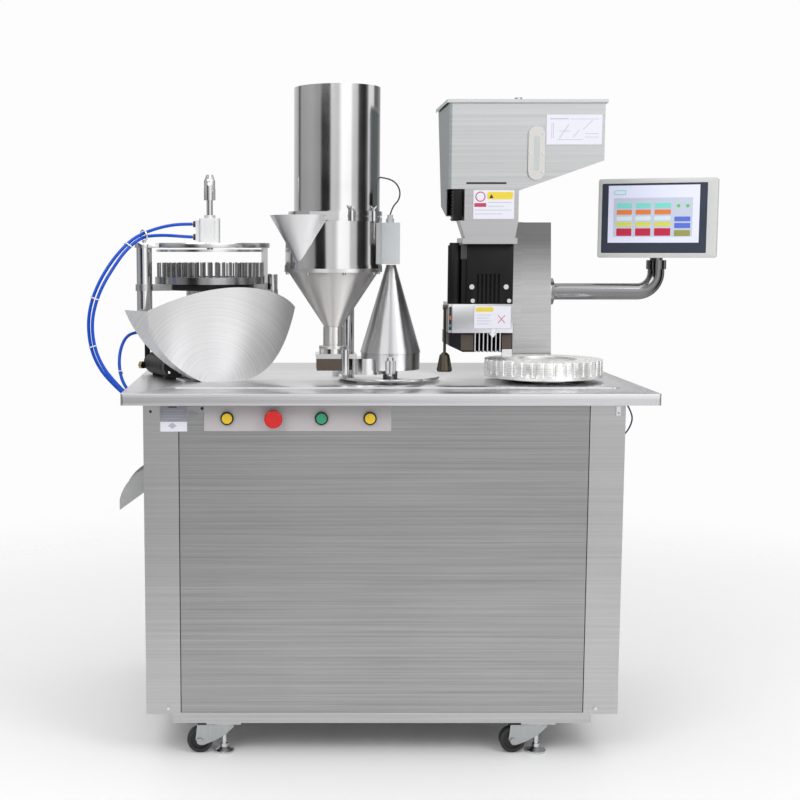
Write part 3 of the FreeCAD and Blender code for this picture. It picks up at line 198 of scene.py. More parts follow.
def brushed(name, color, roughness, style="x", centre=(0, 0, 0), contrast=0.22, bump=0.25, across=260.0,
            metallic=1.0):
    """Brushed metal: long streaks in colour, roughness and bump, with broad uneven tone."""
    material, tree, shader = new_material(name, color, metallic, roughness, Anisotropic=0.5)
    coordinates = brushing_coordinates(tree, style, centre)
    fine = streaks(tree, coordinates, BRUSH_ALONG, across * 3.4)
    coarse = streaks(tree, coordinates, BRUSH_ALONG * 0.5, across)
    cloud = noise(tree, 2.6, 3.0)
    both = maths(tree, "ADD", maths(tree, "MULTIPLY", fine, 0.5), maths(tree, "MULTIPLY", coarse, 0.5))
    spread = maths(tree, "MULTIPLY", maths(tree, "SUBTRACT", both, 0.5), contrast * 4)
    tone = maths(tree, "ADD", maths(tree, "ADD", spread, 1.0),
                 maths(tree, "MULTIPLY", maths(tree, "SUBTRACT", cloud, 0.5), contrast * 0.5))
    tree.links.new(times(tree, color, tone), shader.inputs["Base Color"])
    rough = maths(tree, "ADD", roughness - 0.09, maths(tree, "MULTIPLY", fine, 0.18))
    tree.links.new(rough, shader.inputs["Roughness"])
    roughen(tree, shader, both, bump)
    return material


def polished(name, color, roughness=0.07, style="ring", centre=(0, 0, 0), **sockets):
    """Mirror-polished metal with faint turning marks and smudges."""
    material, tree, shader = new_material(name, color, 1.0, roughness, **sockets)
    coordinates = brushing_coordinates(tree, style, centre)
    marks = streaks(tree, coordinates, 2.0, 1400.0, 2.0)
    smudge = noise(tree, 14.0, 5.0)
    rough = maths(tree, "ADD", roughness - 0.03, maths(tree, "MULTIPLY", smudge, 0.09))
    tree.links.new(rough, shader.inputs["Roughness"])
    tone = maths(tree, "ADD", 0.94, maths(tree, "MULTIPLY", smudge, 0.12))
    tree.links.new(times(tree, color, tone), shader.inputs["Base Color"])
    roughen(tree, shader, marks, 0.05, 0.0001)
    return material


def moulded(name, color, roughness, grain=900.0, bump=0.15, wear=0.12, metallic=0.0, **sockets):
    """Plastic, rubber or paint: fine grain in the bump, uneven tone and slightly rubbed patches."""
    material, tree, shader = new_material(name, color, metallic, roughness, **sockets)
    fine = noise(tree, grain, 3.0)
    broad = noise(tree, 18.0, 5.0)
    tone = maths(tree, "ADD", 1.0 - wear / 2, maths(tree, "MULTIPLY", broad, wear))
    tree.links.new(times(tree, color, tone), shader.inputs["Base Color"])
    rough = maths(tree, "ADD", roughness - 0.06, maths(tree, "MULTIPLY", broad, 0.12))
    tree.links.new(rough, shader.inputs["Roughness"])
    roughen(tree, shader, fine, bump)
    return material


# ---- stage --------------------------------------------------------------------------------
# Brightness round the horizon as metal mirrors it: the machine's front is at 0 and 1, its left at
# 0.25, its back at 0.5 and its right at 0.75.
BAND_STOPS = [
    (0.0, 0.85), (0.047, 0.95), (0.060, 0.012), (0.118, 0.012), (0.135, 0.42), (0.205, 0.55), (0.30, 0.50),
    (0.322, 0.42), (0.330, 0.12), (0.346, 0.12), (0.358, 0.60), (0.42, 0.80), (0.5, 1.0), (0.60, 0.35),
    (0.64, 0.18), (0.68, 0.18), (0.693, 1.05), (0.745, 1.10), (0.765, 0.16), (0.785, 0.02), (0.838, 0.05),
    (0.853, 0.78), (0.890, 0.90), (0.905, 1.60), (0.965, 1.70), (1.0, 0.85),
]
# Brightness by height, from straight down at 0 to straight up at 1.
RISE_STOPS = [(0.0, 0.55), (0.35, 0.62), (0.5, 0.72), (0.62, 0.9), (1.0, 1.15)]
EVEN_STRENGTH = 0.62                      # the world's light on surfaces that don't mirror it
FLOOR_RADIUS = 7.0


def add_world():
    """Pale studio: even for diffuse light, with soft bands for what polished metal mirrors."""
    world = bpy.data.worlds.new("studio")
    bpy.context.scene.world = world
    world.use_nodes = True
    tree = world.node_tree
    tree.nodes.clear()
    direction = add(tree, "ShaderNodeTexCoord").outputs["Generated"]
    x, y, z = add(tree, "ShaderNodeSeparateXYZ", {0: direction}).outputs
    turn = maths(tree, "ADD", maths(tree, "DIVIDE", maths(tree, "ARCTAN2", x, y), 2 * math.pi), 0.5)
    bands = ramp(tree, turn, BAND_STOPS, "EASE")
    rise = ramp(tree, maths(tree, "ADD", maths(tree, "MULTIPLY", z, 0.5), 0.5), RISE_STOPS, "EASE")
    path = add(tree, "ShaderNodeLightPath")
    even = add(tree, "ShaderNodeBackground", {"Color": (1, 1, 1, 1), "Strength": EVEN_STRENGTH})
    glossy = add(tree, "ShaderNodeBackground", {"Color": times(tree, bands, rise), "Strength": 1.0})
    backdrop = add(tree, "ShaderNodeBackground", {"Color": (0.98, 0.98, 0.98, 1), "Strength": 1.0})
    mirrored = add(tree, "ShaderNodeMixShader",
                   {0: path.outputs["Is Glossy Ray"], 1: even.outputs[0], 2: glossy.outputs[0]})
    shown = add(tree, "ShaderNodeMixShader",
                {0: path.outputs["Is Camera Ray"], 1: mirrored.outputs[0], 2: backdrop.outputs[0]})
    add(tree, "ShaderNodeOutputWorld", {"Surface": shown.outputs[0]})


def add_floor():
    """Pale floor whose rim fades into the backdrop."""
    mesh = bpy.data.meshes.new("floor")
    form = bmesh.new()
    bmesh.ops.create_circle(form, cap_ends=True, segments=96, radius=FLOOR_RADIUS)
    form.to_mesh(mesh)
    form.free()
    floor = bpy.data.objects.new("floor", mesh)
    bpy.context.scene.collection.objects.link(floor)
    material, tree, shader = new_material("floor_pale", (0.93, 0.93, 0.93), 0.0, 0.55)
    place = add(tree, "ShaderNodeTexCoord").outputs["Object"]
    far = add(tree, "ShaderNodeVectorMath", {0: place}, operation="LENGTH").outputs["Value"]
    fade = ramp(tree, maths(tree, "DIVIDE", far, FLOOR_RADIUS), [(0.12, 0.0), (0.42, 1.0)], "EASE")
    clear = add(tree, "ShaderNodeBsdfTransparent")
    mix = add(tree, "ShaderNodeMixShader", {0: fade, 1: shader.outputs[0], 2: clear.outputs[0]})
    tree.links.new(mix.outputs[0], tree.nodes["Material Output"].inputs["Surface"])
    mesh.materials.append(material)


# ---- mesh helpers ---------------------------------------------------------------------------
PIECE_SMOOTH, CAD_SMOOTH = 35, 30         # degrees between faces past which an edge stays sharp
BEVEL_FROM = 50                           # degrees between faces past which an edge is rounded


def piece(name, mesh, material, body, bevel=0.0):
    """An object that rides a body, with its material slot."""
    made = bpy.data.objects.new(name, mesh)
    bpy.context.scene.collection.objects.link(made)
    mesh.materials.clear()
    mesh.materials.append(material)
    mesh.shade_smooth()
    mesh.set_sharp_from_angle(angle=math.radians(PIECE_SMOOTH))
    if bevel:
        add_bevel(made, bevel)
    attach(made, body)
    return made


def add_bevel(made, width):
    """Narrow rounded edges."""
    edge = made.modifiers.new("edge", "BEVEL")
    edge.width = width
    edge.segments = 2
    edge.limit_method = "ANGLE"
    edge.angle_limit = math.radians(BEVEL_FROM)
    edge.use_clamp_overlap = True
    edge.harden_normals = False


def mesh_from(name, build):
    """A mesh that a function fills in."""
    form = bmesh.new()
    build(form)
    mesh = bpy.data.meshes.new(name)
    form.to_mesh(mesh)
    form.free()
    return mesh


def add_box(form, low, high):
    """A box between two corners."""
    matrix = Matrix.Translation((low + high) / 2) @ Matrix.Diagonal((*(high - low), 1))
    bmesh.ops.create_cube(form, size=1.0, matrix=matrix)


def add_turned(form, profile, start, axis, segments=48):
    """A turned solid: (distance along the axis, radius) pairs swept round the axis."""
    turn = Vector(axis).normalized().to_track_quat("Z", "Y").to_matrix().to_4x4()
    turn.translation = Vector(start)
    angles = [2 * math.pi * k / segments for k in range(segments)]
    rings = []
    for height, radius in profile:
        if radius < 1e-7:
            rings.append([form.verts.new(turn @ Vector((0, 0, height)))])
            continue
        rings.append([form.verts.new(turn @ Vector((radius * math.cos(a), radius * math.sin(a), height)))
                      for a in angles])
    for lower, upper in zip(rings, rings[1:]):
        for k in range(segments):
            j = (k + 1) % segments
            corners = [lower[k % len(lower)], lower[j % len(lower)],
                       upper[j % len(upper)], upper[k % len(upper)]]
            unique = list(dict.fromkeys(corners))
            if len(unique) > 2:
                form.faces.new(unique)
    bmesh.ops.recalc_face_normals(form, faces=form.faces)


# ---- materials of the CAD nodes ---------------------------------------------------------------
MIRROR = (0.78, 0.78, 0.785)
POWDER_AXIS = at(-118, -105, 0)
COVER_AXIS = at(-110, -105, 0)
DISC_AXIS = at(20, -90, 0)
CONE_AXIS = at(23, -90, 0)
RING_AXIS = at(-423, 19, 0)
LOAD_AXIS = at(394, -110, 0)
SCOOP_FOOT = at(-407, -75, 850)
TURNED = {"Anisotropic": 1.0, "Anisotropic_Rotation": 0.25}     # lathe marks stretch gloss up the cone
BOWL_LEFT_WALL = (at(161, 0, 0).x, at(160.6, 0, 0).x)           # the hopper's left wall stands past this x
COLUMN_SHADE = (1.07, 1.19)                                     # heights over which the column grows darker
CHAMBER_RADIUS, FUNNEL_FOOT = 0.1168, 1.1325                    # the side funnel lies outside and above these


def cad_materials():
    """The material of each CAD node, by the node's name."""
    cabinet = brushed("cabinet_brushed", (0.50, 0.50, 0.505), 0.36, "x", contrast=0.20)
    panel = brushed("panel_brushed", (0.385, 0.385, 0.39), 0.44, "x", contrast=0.34)
    side = brushed("side_brushed", (0.56, 0.56, 0.565), 0.36, "y", contrast=0.20)
    table = brushed("table_brushed", (0.66, 0.655, 0.67), 0.30, "x", contrast=0.16)
    satin = brushed("satin_steel", (0.62, 0.625, 0.63), 0.26, "z", contrast=0.10)
    hopper = brushed("hopper_brushed", (0.60, 0.605, 0.61), 0.36, "x", contrast=0.20)
    bowl = brushed("bowl_brushed", (0.56, 0.565, 0.57), 0.36, "x", contrast=0.20)
    # painted shade: the hopper bowl's left wall is darkened in its colour
    paint_shade(bowl, X_AXIS, *BOWL_LEFT_WALL, (0.55, 0.60, 0.61))
    column = brushed("column_brushed", (0.53, 0.53, 0.535), 0.30, "x", contrast=0.20)
    # painted shade: the column's colour darkens towards its top, where the hopper above shades it
    paint_shade(column, Z_AXIS, *COLUMN_SHADE, (0.36, 0.36, 0.36))
    # painted shade: the throat's steel is a darker copy, for the shade between the hopper and the column
    shaded = brushed("throat_painted_shade", (0.50, 0.50, 0.51), 0.34, "x", contrast=0.12)
    plate = brushed("plate_turned", (0.74, 0.74, 0.745), 0.20, "ring", RING_AXIS, contrast=0.10)
    scoop = brushed("scoop_brushed", (0.84, 0.84, 0.84), 0.42, "arc", SCOOP_FOOT, contrast=0.20, across=240,
                    metallic=0.5)
    zinc = brushed("zinc_plate", (0.66, 0.67, 0.68), 0.24, "x", contrast=0.08, bump=0.1)
    fork = brushed("fork_zinc", (0.42, 0.44, 0.44), 0.30, "z", contrast=0.10, bump=0.1)
    ring = brushed("ring_aluminium", (0.93, 0.93, 0.92), 0.27, "ring", LOAD_AXIS, contrast=0.10, bump=0.1,
                   metallic=0.6)
    block = brushed("block_aluminium", (0.58, 0.585, 0.60), 0.36, "x", contrast=0.08, bump=0.1)
    cylinder = brushed("cylinder_aluminium", (0.90, 0.905, 0.91), 0.40, "z", contrast=0.08, bump=0.1,
                       metallic=0.75)
    black = moulded("black_plastic", (0.006, 0.0055, 0.0055), 0.46, Specular_IOR_Level=0.22)
    dark = brushed("pin_dark_steel", (0.40, 0.40, 0.41), 0.18, "z", contrast=0.10, bump=0.1)
    comb = moulded("comb_plastic", (0.008, 0.008, 0.012), 0.40, Specular_IOR_Level=0.25)
    motor = moulded("motor_paint", (0.10, 0.12, 0.14), 0.40)
    grey = moulded("box_paint", (0.52, 0.54, 0.55), 0.42, grain=500)
    printed = moulded("plate_paint", (0.50, 0.475, 0.49), 0.38, grain=300, bump=0.05, wear=0.05)
    frame_grey = moulded("screen_frame", (0.66, 0.67, 0.66), 0.40, grain=1400, bump=0.08, wear=0.04)
    rubber = moulded("wheel_rubber", (0.015, 0.015, 0.016), 0.55, grain=400)
    bezel = moulded("bezel_black", (0.012, 0.012, 0.014), 0.25, wear=0.05)
    grip = moulded("bronze_grip", (0.085, 0.072, 0.055), 0.22, metallic=0.8)
    yellow = moulded("cap_yellow", (0.80, 0.55, 0.02), 0.28, wear=0.05)
    table_of = {
        "base_frame": cabinet, "frame_members": cabinet, "front_panel": panel, "side_panels": side,
        "rear_door": cabinet, "tabletop": table, "faceplates": printed, "button_bezels": bezel,
        "outlet_chute": hopper, "levelling_feet": zinc, "gear_motors": motor, "vacuum_pump": motor,
        "electrical_box": grey, "lock_pedestal": satin, "lock_top_plate": plate, "lock_cylinder": cylinder,
        "press_rod": plate, "pin_ring": dark, "scoop": scoop, "valve_block": black,
        "auger": satin, "level_box": grey, "hopper": bowl, "hopper_lid": hopper, "throat": shaded,
        "magazine": black, "rectifier": block, "pusher_comb": comb, "loading_lever": grip, "column": column,
        "mould_turntable": satin, "mould_ring": ring, "hmi_housing": frame_grey,
        "hmi_pipe": polished("pipe_polished", (0.21, 0.21, 0.215), 0.10, "x"),
        "fasteners": zinc, "hmi_screen": frame_grey,
        "lock_posts": polished("post_polished", MIRROR, 0.10, "x"),
        "motor_cover": polished("cover_polished", MIRROR, 0.12, "ring", COVER_AXIS),
        "powder_chamber": chamber_metal(),
        "powder_cone": polished("cone_polished", (0.74, 0.725, 0.71), 0.44, "ring", POWDER_AXIS, **TURNED),
        "filling_stand": polished("stand_polished", MIRROR, 0.12, "x"),
        "filling_disc": polished("disc_polished", MIRROR, 0.06, "ring", DISC_AXIS),
        "dosing_cone": polished("tall_cone_polished", (0.66, 0.66, 0.67), 0.40, "ring", CONE_AXIS, **TURNED),
        "button_yellow_left": yellow, "button_yellow_right": yellow,
        "button_red": moulded("cap_red", (0.62, 0.012, 0.012), 0.28, wear=0.05),
        "button_green": moulded("cap_green", (0.03, 0.33, 0.17), 0.28, wear=0.05),
    }
    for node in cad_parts:
        if node.startswith("caster_fork"):
            table_of[node] = fork
        if node.startswith("caster_wheel"):
            table_of[node] = rubber
    return table_of


def paint_shade(material, axis, start, end, tone):
    """Paint shade into a material's colour: multiply it by a tone that comes in from start to end along one
    axis.
    """
    tree = material.node_tree
    shader = tree.nodes["Principled BSDF"]
    place = add(tree, "ShaderNodeTexCoord").outputs["Object"]
    along = add(tree, "ShaderNodeSeparateXYZ", {0: place}).outputs[axis]
    share = maths(tree, "DIVIDE", maths(tree, "SUBTRACT", along, start), end - start)
    held = add(tree, "ShaderNodeClamp", {0: share}).outputs[0]
    # painted shade: the ramp runs from the plain colour to the shade tone
    shade = ramp(tree, held, [(0.0, 1.0), (1.0, tone)])
    plain = shader.inputs["Base Color"].links[0].from_socket
    tree.links.new(times(tree, plain, shade), shader.inputs["Base Color"])


def chamber_metal():
    """Polished chamber wall, with the side funnel that stands out of it in a finer satin."""
    material = polished("chamber_polished", MIRROR, 0.10, "ring", POWDER_AXIS)
    tree = material.node_tree
    shader = tree.nodes["Principled BSDF"]
    x, y, z = place_from(tree, POWDER_AXIS)
    outside = maths(tree, "GREATER_THAN", reach(tree, x, y), CHAMBER_RADIUS)
    above = maths(tree, "GREATER_THAN", z, FUNNEL_FOOT)
    satin = maths(tree, "MULTIPLY", maths(tree, "MULTIPLY", outside, above), 0.24)
    plain = shader.inputs["Roughness"].links[0].from_socket
    tree.links.new(maths(tree, "ADD", plain, satin), shader.inputs["Roughness"])
    return material


EDGE_WIDTHS = {"tabletop": 0.0008, "hmi_housing": 0.0008, "magazine": 0.0006, "rectifier": 0.0006,
               "mould_ring": 0.0007, "lock_top_plate": 0.001, "pusher_comb": 0.0005}


def dress_cad(table_of):
    """Give every CAD node but the cords, which add_cords replaces, its material and soft edges."""
    for name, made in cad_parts.items():
        if name not in table_of:
            continue
        made.data.materials.clear()
        made.data.materials.append(table_of[name])
        weld = made.modifiers.new("weld", "WELD")
        weld.merge_threshold = 0.00001
        if name in EDGE_WIDTHS:
            add_bevel(made, EDGE_WIDTHS[name])
        smooth_by_angle(made)


def smooth_by_angle(made):
    """Smooth shading with sharp edges kept, as a modifier, so that the mesh is not touched."""
    name = "smooth_by_angle"
    tree = bpy.data.node_groups.get(name)
    if tree is None:
        tree = bpy.data.node_groups.new(name, "GeometryNodeTree")
        tree.interface.new_socket("Geometry", in_out="INPUT", socket_type="NodeSocketGeometry")
        tree.interface.new_socket("Geometry", in_out="OUTPUT", socket_type="NodeSocketGeometry")
        start = tree.nodes.new("NodeGroupInput")
        end = tree.nodes.new("NodeGroupOutput")
        angle = tree.nodes.new("GeometryNodeInputMeshEdgeAngle")
        shallow = maths(tree, "LESS_THAN", angle.outputs[0], math.radians(CAD_SMOOTH))
        faces = add(tree, "GeometryNodeSetShadeSmooth", domain="FACE")
        edges = add(tree, "GeometryNodeSetShadeSmooth", domain="EDGE")
        tree.links.new(start.outputs[0], faces.inputs["Geometry"])
        tree.links.new(faces.outputs[0], edges.inputs["Geometry"])
        tree.links.new(shallow, edges.inputs["Shade Smooth"])
        tree.links.new(edges.outputs[0], end.inputs[0])
    group = made.modifiers.new("smooth", "NODES")
    group.node_group = tree


# ---- cords --------------------------------------------------------------------------------------
# The control points of each cord, as in part.py, in metres in the row frame.
ROUTES = {
    "air_hose_upper": [
        (-0.5787, 0.019, 1.231), (-0.6017, 0.019, 1.231), (-0.6267, 0.008, 1.229),
        (-0.6507, -0.012, 1.224), (-0.6717, -0.036, 1.217), (-0.6937, -0.06, 1.208),
        (-0.7197, -0.081, 1.193), (-0.7457, -0.104, 1.166), (-0.7707, -0.118, 1.133),
        (-0.7937, -0.127, 1.094), (-0.8117, -0.133, 1.052), (-0.8217, -0.137, 1.005),
        (-0.8207, -0.14, 0.957), (-0.8107, -0.141, 0.913), (-0.7897, -0.144, 0.874),
        (-0.7627, -0.148, 0.845), (-0.7357, -0.152, 0.82), (-0.7037, -0.154, 0.806),
        (-0.6677, -0.154, 0.806),
    ],
    "air_hose_lower": [
        (-0.5787, 0.019, 1.199), (-0.6007, 0.019, 1.2), (-0.6257, 0.007, 1.202), (-0.6497, -0.014, 1.203),
        (-0.6707, -0.038, 1.202), (-0.6937, -0.061, 1.199), (-0.7167, -0.089, 1.183),
        (-0.7397, -0.113, 1.157), (-0.7617, -0.129, 1.123), (-0.7837, -0.139, 1.086),
        (-0.8007, -0.144, 1.046), (-0.8107, -0.149, 1.002), (-0.8097, -0.152, 0.957),
        (-0.7997, -0.154, 0.916), (-0.7807, -0.158, 0.88), (-0.7567, -0.162, 0.852),
        (-0.7337, -0.166, 0.828), (-0.7027, -0.168, 0.812), (-0.6677, -0.168, 0.812),
    ],
    "air_hose_valve": [
        (-0.7197, 0.062, 0.958), (-0.7357, 0.052, 0.957), (-0.7497, 0.034, 0.949),
        (-0.7577, 0.012, 0.934), (-0.7617, -0.012, 0.914), (-0.7617, -0.036, 0.89),
        (-0.7567, -0.06, 0.866), (-0.7477, -0.082, 0.844), (-0.7317, -0.102, 0.824),
        (-0.7057, -0.12, 0.808), (-0.6677, -0.124, 0.806),
    ],
    "motor_cable": [
        (-0.1206, -0.105, 1.34), (-0.1017, -0.104, 1.338), (-0.0817, -0.103, 1.328),
        (-0.0707, -0.102, 1.308), (-0.0737, -0.101, 1.286), (-0.0897, -0.1, 1.27), (-0.0947, -0.1, 1.251),
    ],
    "earth_wire": [
        (0.4273, -0.33, 0.842), (0.4273, -0.33, 0.823), (0.4393, -0.328, 0.803), (0.4463, -0.325, 0.784),
        (0.4403, -0.323, 0.763), (0.4293, -0.321, 0.746), (0.4173, -0.32, 0.738),
    ],
}
CORD_FACTS = {                            # length and diameter
    "air_hose_upper": (0.696, 0.008), "air_hose_lower": (0.671, 0.008), "air_hose_valve": (0.307, 0.008),
    "motor_cable": (0.126, 0.0035), "earth_wire": (0.118, 0.0035),
}


def make_spline(curve, node):
    """The cord's spline, steered by the points of its route."""
    points = ROUTES[node]
    spline = curve.splines.new("NURBS")
    spline.points.add(len(points) - 1)
    for point, place in zip(spline.points, points):
        point.co = (*place, 1)
    spline.order_u = 3
    spline.use_endpoint_u = True
    spline.resolution_u = 16


def route_line(node):
    """The smooth line of a cord, as a list of close points."""
    curve = bpy.data.curves.new(node + "_bare", "CURVE")
    curve.dimensions = "3D"
    make_spline(curve, node)
    bare = bpy.data.objects.new(node + "_bare", curve)
    bpy.context.scene.collection.objects.link(bare)
    bpy.context.view_layer.update()
    mesh = bpy.data.meshes.new_from_object(bare)
    line = [vertex.co.copy() for vertex in mesh.vertices]
    bpy.data.meshes.remove(mesh)
    bpy.data.objects.remove(bare)
    bpy.data.curves.remove(curve)
    return line


def nearest(line, place):
    """The line's nearest point to a place, and the line's direction there."""
    k = min(range(1, len(line) - 1), key=lambda n: (line[n] - place).length)
    return line[k], (line[k + 1] - line[k - 1]).normalized()


TIE_GAP, TIE_THICK, TIE_WIDTH = 0.0042, 0.0011, 0.0030     # the strap's inner radius round a hose first
TIE_HEAD, TIE_HEAD_OUT = (0.0030, 0.0046, 0.0044), 0.0022  # its lock head, and how far out the head sits


def tie_mesh(name, centres, direction):
    """A strap in a stadium loop round one or two hoses, with its lock head."""
    first, last = centres[0], centres[-1]
    across = last - first
    across -= direction * across.dot(direction)
    across = across.normalized() if across.length > 1e-6 else direction.orthogonal().normalized()
    upward = direction.cross(across).normalized()
    turns = [(first, 90 + 15 * k) for k in range(13)] + [(last, 270 + 15 * k) for k in range(13)]

    def build(form):
        rings = []
        for centre, degrees in turns:
            angle = math.radians(degrees)
            outward = across * math.cos(angle) + upward * math.sin(angle)
            ring = []
            for layer, side in ((0, -1), (0, 1), (1, 1), (1, -1)):
                place = centre + outward * (TIE_GAP + TIE_THICK * layer) + direction * (side * TIE_WIDTH / 2)
                ring.append(form.verts.new(place))
            rings.append(ring)
        for a, b in zip(rings, rings[1:] + rings[:1]):
            for k in range(4):
                form.faces.new((a[k], a[(k + 1) % 4], b[(k + 1) % 4], b[k]))
        turn = Matrix((across, upward, direction)).transposed().to_4x4()
        turn.translation = first - across * (TIE_GAP + TIE_HEAD_OUT)
        bmesh.ops.create_cube(form, size=1.0, matrix=turn @ Matrix.Diagonal((*TIE_HEAD, 1)))
        bmesh.ops.recalc_face_normals(form, faces=form.faces)
    return mesh_from(name, build)


LONG_HOSES = ("air_hose_upper", "air_hose_lower")
# Name, hoses that the strap holds (the first carries it), and how far along the route points it is.
TIES = [("tie_high", LONG_HOSES, 6.5), ("tie_middle", LONG_HOSES, 10), ("tie_low", LONG_HOSES, 12.5),
        ("tie_valve", ("air_hose_valve",), 6)]


def add_ties(material):
    """All the straps, by the hose that carries them."""
    made = {}
    for name, hoses, index in TIES:
        route = [Vector(p) for p in ROUTES[hoses[0]]]
        low = int(index)
        place = route[low].lerp(route[low + 1], index - low)
        found = [nearest(route_line(hose), place) for hose in hoses]
        mesh = tie_mesh(name, [centre for centre, _ in found], found[0][1])
        tie = piece(name, mesh, material, "cabinet", bevel=0.0002)
        made.setdefault(hoses[0], []).append(tie)
    return made


def add_cord(node, material):
    """One cord as a round curve that stands for its CAD node."""
    length, diameter = CORD_FACTS[node]
    curve = bpy.data.curves.new(node + "_line", "CURVE")
    curve.dimensions = "3D"
    make_spline(curve, node)
    curve.bevel_depth = diameter / 2
    curve.bevel_resolution = 6
    curve.use_fill_caps = True
    curve.materials.append(material)
    made = bpy.data.objects.new(node + "_soft", curve)
    bpy.context.scene.collection.objects.link(made)
    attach(made, "cabinet")
    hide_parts(node)


def add_cords():
    """The three air hoses with their ties, the motor cable and the earth wire."""
    blue = moulded("hose_blue", (0.0, 0.075, 0.55), 0.30, grain=200, bump=0.04, wear=0.10,
                   Specular_IOR_Level=0.35)
    black = moulded("cable_black", (0.012, 0.012, 0.012), 0.45)
    wire = moulded("wire_blue", (0.012, 0.022, 0.09), 0.35)
    white = moulded("tie_nylon", (0.78, 0.78, 0.76), 0.35, wear=0.05)
    ties = add_ties(white)
    for node in ("air_hose_upper", "air_hose_lower", "air_hose_valve"):
        add_cord(node, blue)
    add_cord("motor_cable", black)
    add_cord("earth_wire", wire)


# ---- flat pieces: screen and labels ---------------------------------------------------------------
PANEL_PLACE, PANEL_TURN = (706, 60), math.radians(-21.3)    # the screen panel's middle and its turn


def on_panel(x, y, z):
    """A point in the screen panel's own millimetres (its front face at y = 0), in the row frame."""
    c, s = math.cos(PANEL_TURN), math.sin(PANEL_TURN)
    return at(PANEL_PLACE[0] + x * c - y * s, PANEL_PLACE[1] + x * s + y * c, z)


def add_slab(form, outline, y0, y1, place, index):
    """A flat shape: an (x, z) outline in millimetres carried from y0 to y1."""
    front = [form.verts.new(place(x, y0, z)) for x, z in outline]
    back = [form.verts.new(place(x, y1, z)) for x, z in outline]
    faces = [form.faces.new(front), form.faces.new(back[::-1])]
    for k in range(len(front)):
        j = (k + 1) % len(front)
        faces.append(form.faces.new((front[k], back[k], back[j], front[j])))
    for face in faces:
        face.material_index = index


def rectangle(x0, x1, z0, z1):
    """The outline of a rectangle."""
    return [(x0, z0), (x1, z0), (x1, z1), (x0, z1)]


def rounded(x0, x1, z0, z1, radius):
    """The outline of a rectangle with round corners."""
    corners = ((x1 - radius, z1 - radius, 0), (x0 + radius, z1 - radius, 90),
               (x0 + radius, z0 + radius, 180), (x1 - radius, z0 + radius, 270))
    shape = []
    for x, z, start in corners:
        for step in range(6):
            angle = math.radians(start + 18 * step)
            shape.append((x + radius * math.cos(angle), z + radius * math.sin(angle)))
    return shape


def disc(x, z, radius, count=24):
    """The outline of a disc."""
    angles = [2 * math.pi * k / count for k in range(count)]
    return [(x + radius * math.cos(angle), z + radius * math.sin(angle)) for angle in angles]


def flat_piece(name, slabs, palette, body, place=at, bevel=0.0):
    """One object of several flat shapes: (outline, y0, y1, colour name) each."""
    used = list(dict.fromkeys(colour for *_, colour in slabs))

    def build(form):
        for outline, y0, y1, colour in slabs:
            add_slab(form, outline, y0, y1, place, used.index(colour))
        bmesh.ops.recalc_face_normals(form, faces=form.faces)
    mesh = mesh_from(name, build)
    indices = [polygon.material_index for polygon in mesh.polygons]
    made = piece(name, mesh, palette[used[0]], body, bevel)
    for colour in used[1:]:
        mesh.materials.append(palette[colour])
    for polygon, index in zip(mesh.polygons, indices):
        polygon.material_index = index
    return made


def lit(name, color):
    """A patch of a lit display: its colour with a faint glow and a fine pixel grain."""
    material, tree, shader = new_material(name, color, 0.0, 0.28)
    tone = maths(tree, "ADD", 0.94, maths(tree, "MULTIPLY", noise(tree, 700.0, 2.0), 0.12))
    grained = times(tree, color, tone)
    tree.links.new(grained, shader.inputs["Base Color"])
    tree.links.new(grained, shader.inputs["Emission Color"])
    shader.inputs["Emission Strength"].default_value = 0.22
    return material


# Layers of the display, in millimetres behind the panel's front face.
GLASS, FIELD, PANEL, INSET, KEY = (1.4, 3.0), (1.1, 1.4), (0.9, 1.1), (0.7, 0.9), (0.5, 0.9)
KEY_COLUMNS = [(-99.3, -61.6), (-52.4, -14.7), (-5.5, 34.3)]
KEY_ROWS = [(1272.3, 1285.3, "teal"), (1256.4, 1268.3, "orange"), (1241.4, 1251.4, "white"),
            (1226.5, 1237.4, "yellow"), (1202.6, 1221.5, "red")]
SIDE_COLUMN = (43.5, 82.2)
SIDE_ROWS = [(1238.4, 1250.4, "blue"), (1221.5, 1234.4, "blue"), (1201.6, 1216.5, "olive")]
LAMP_XS, LAMP_Z, LAMP_RADIUS = (52.6, 75.0), 1277.3, 4.4
KEY_CORNER = 1.5


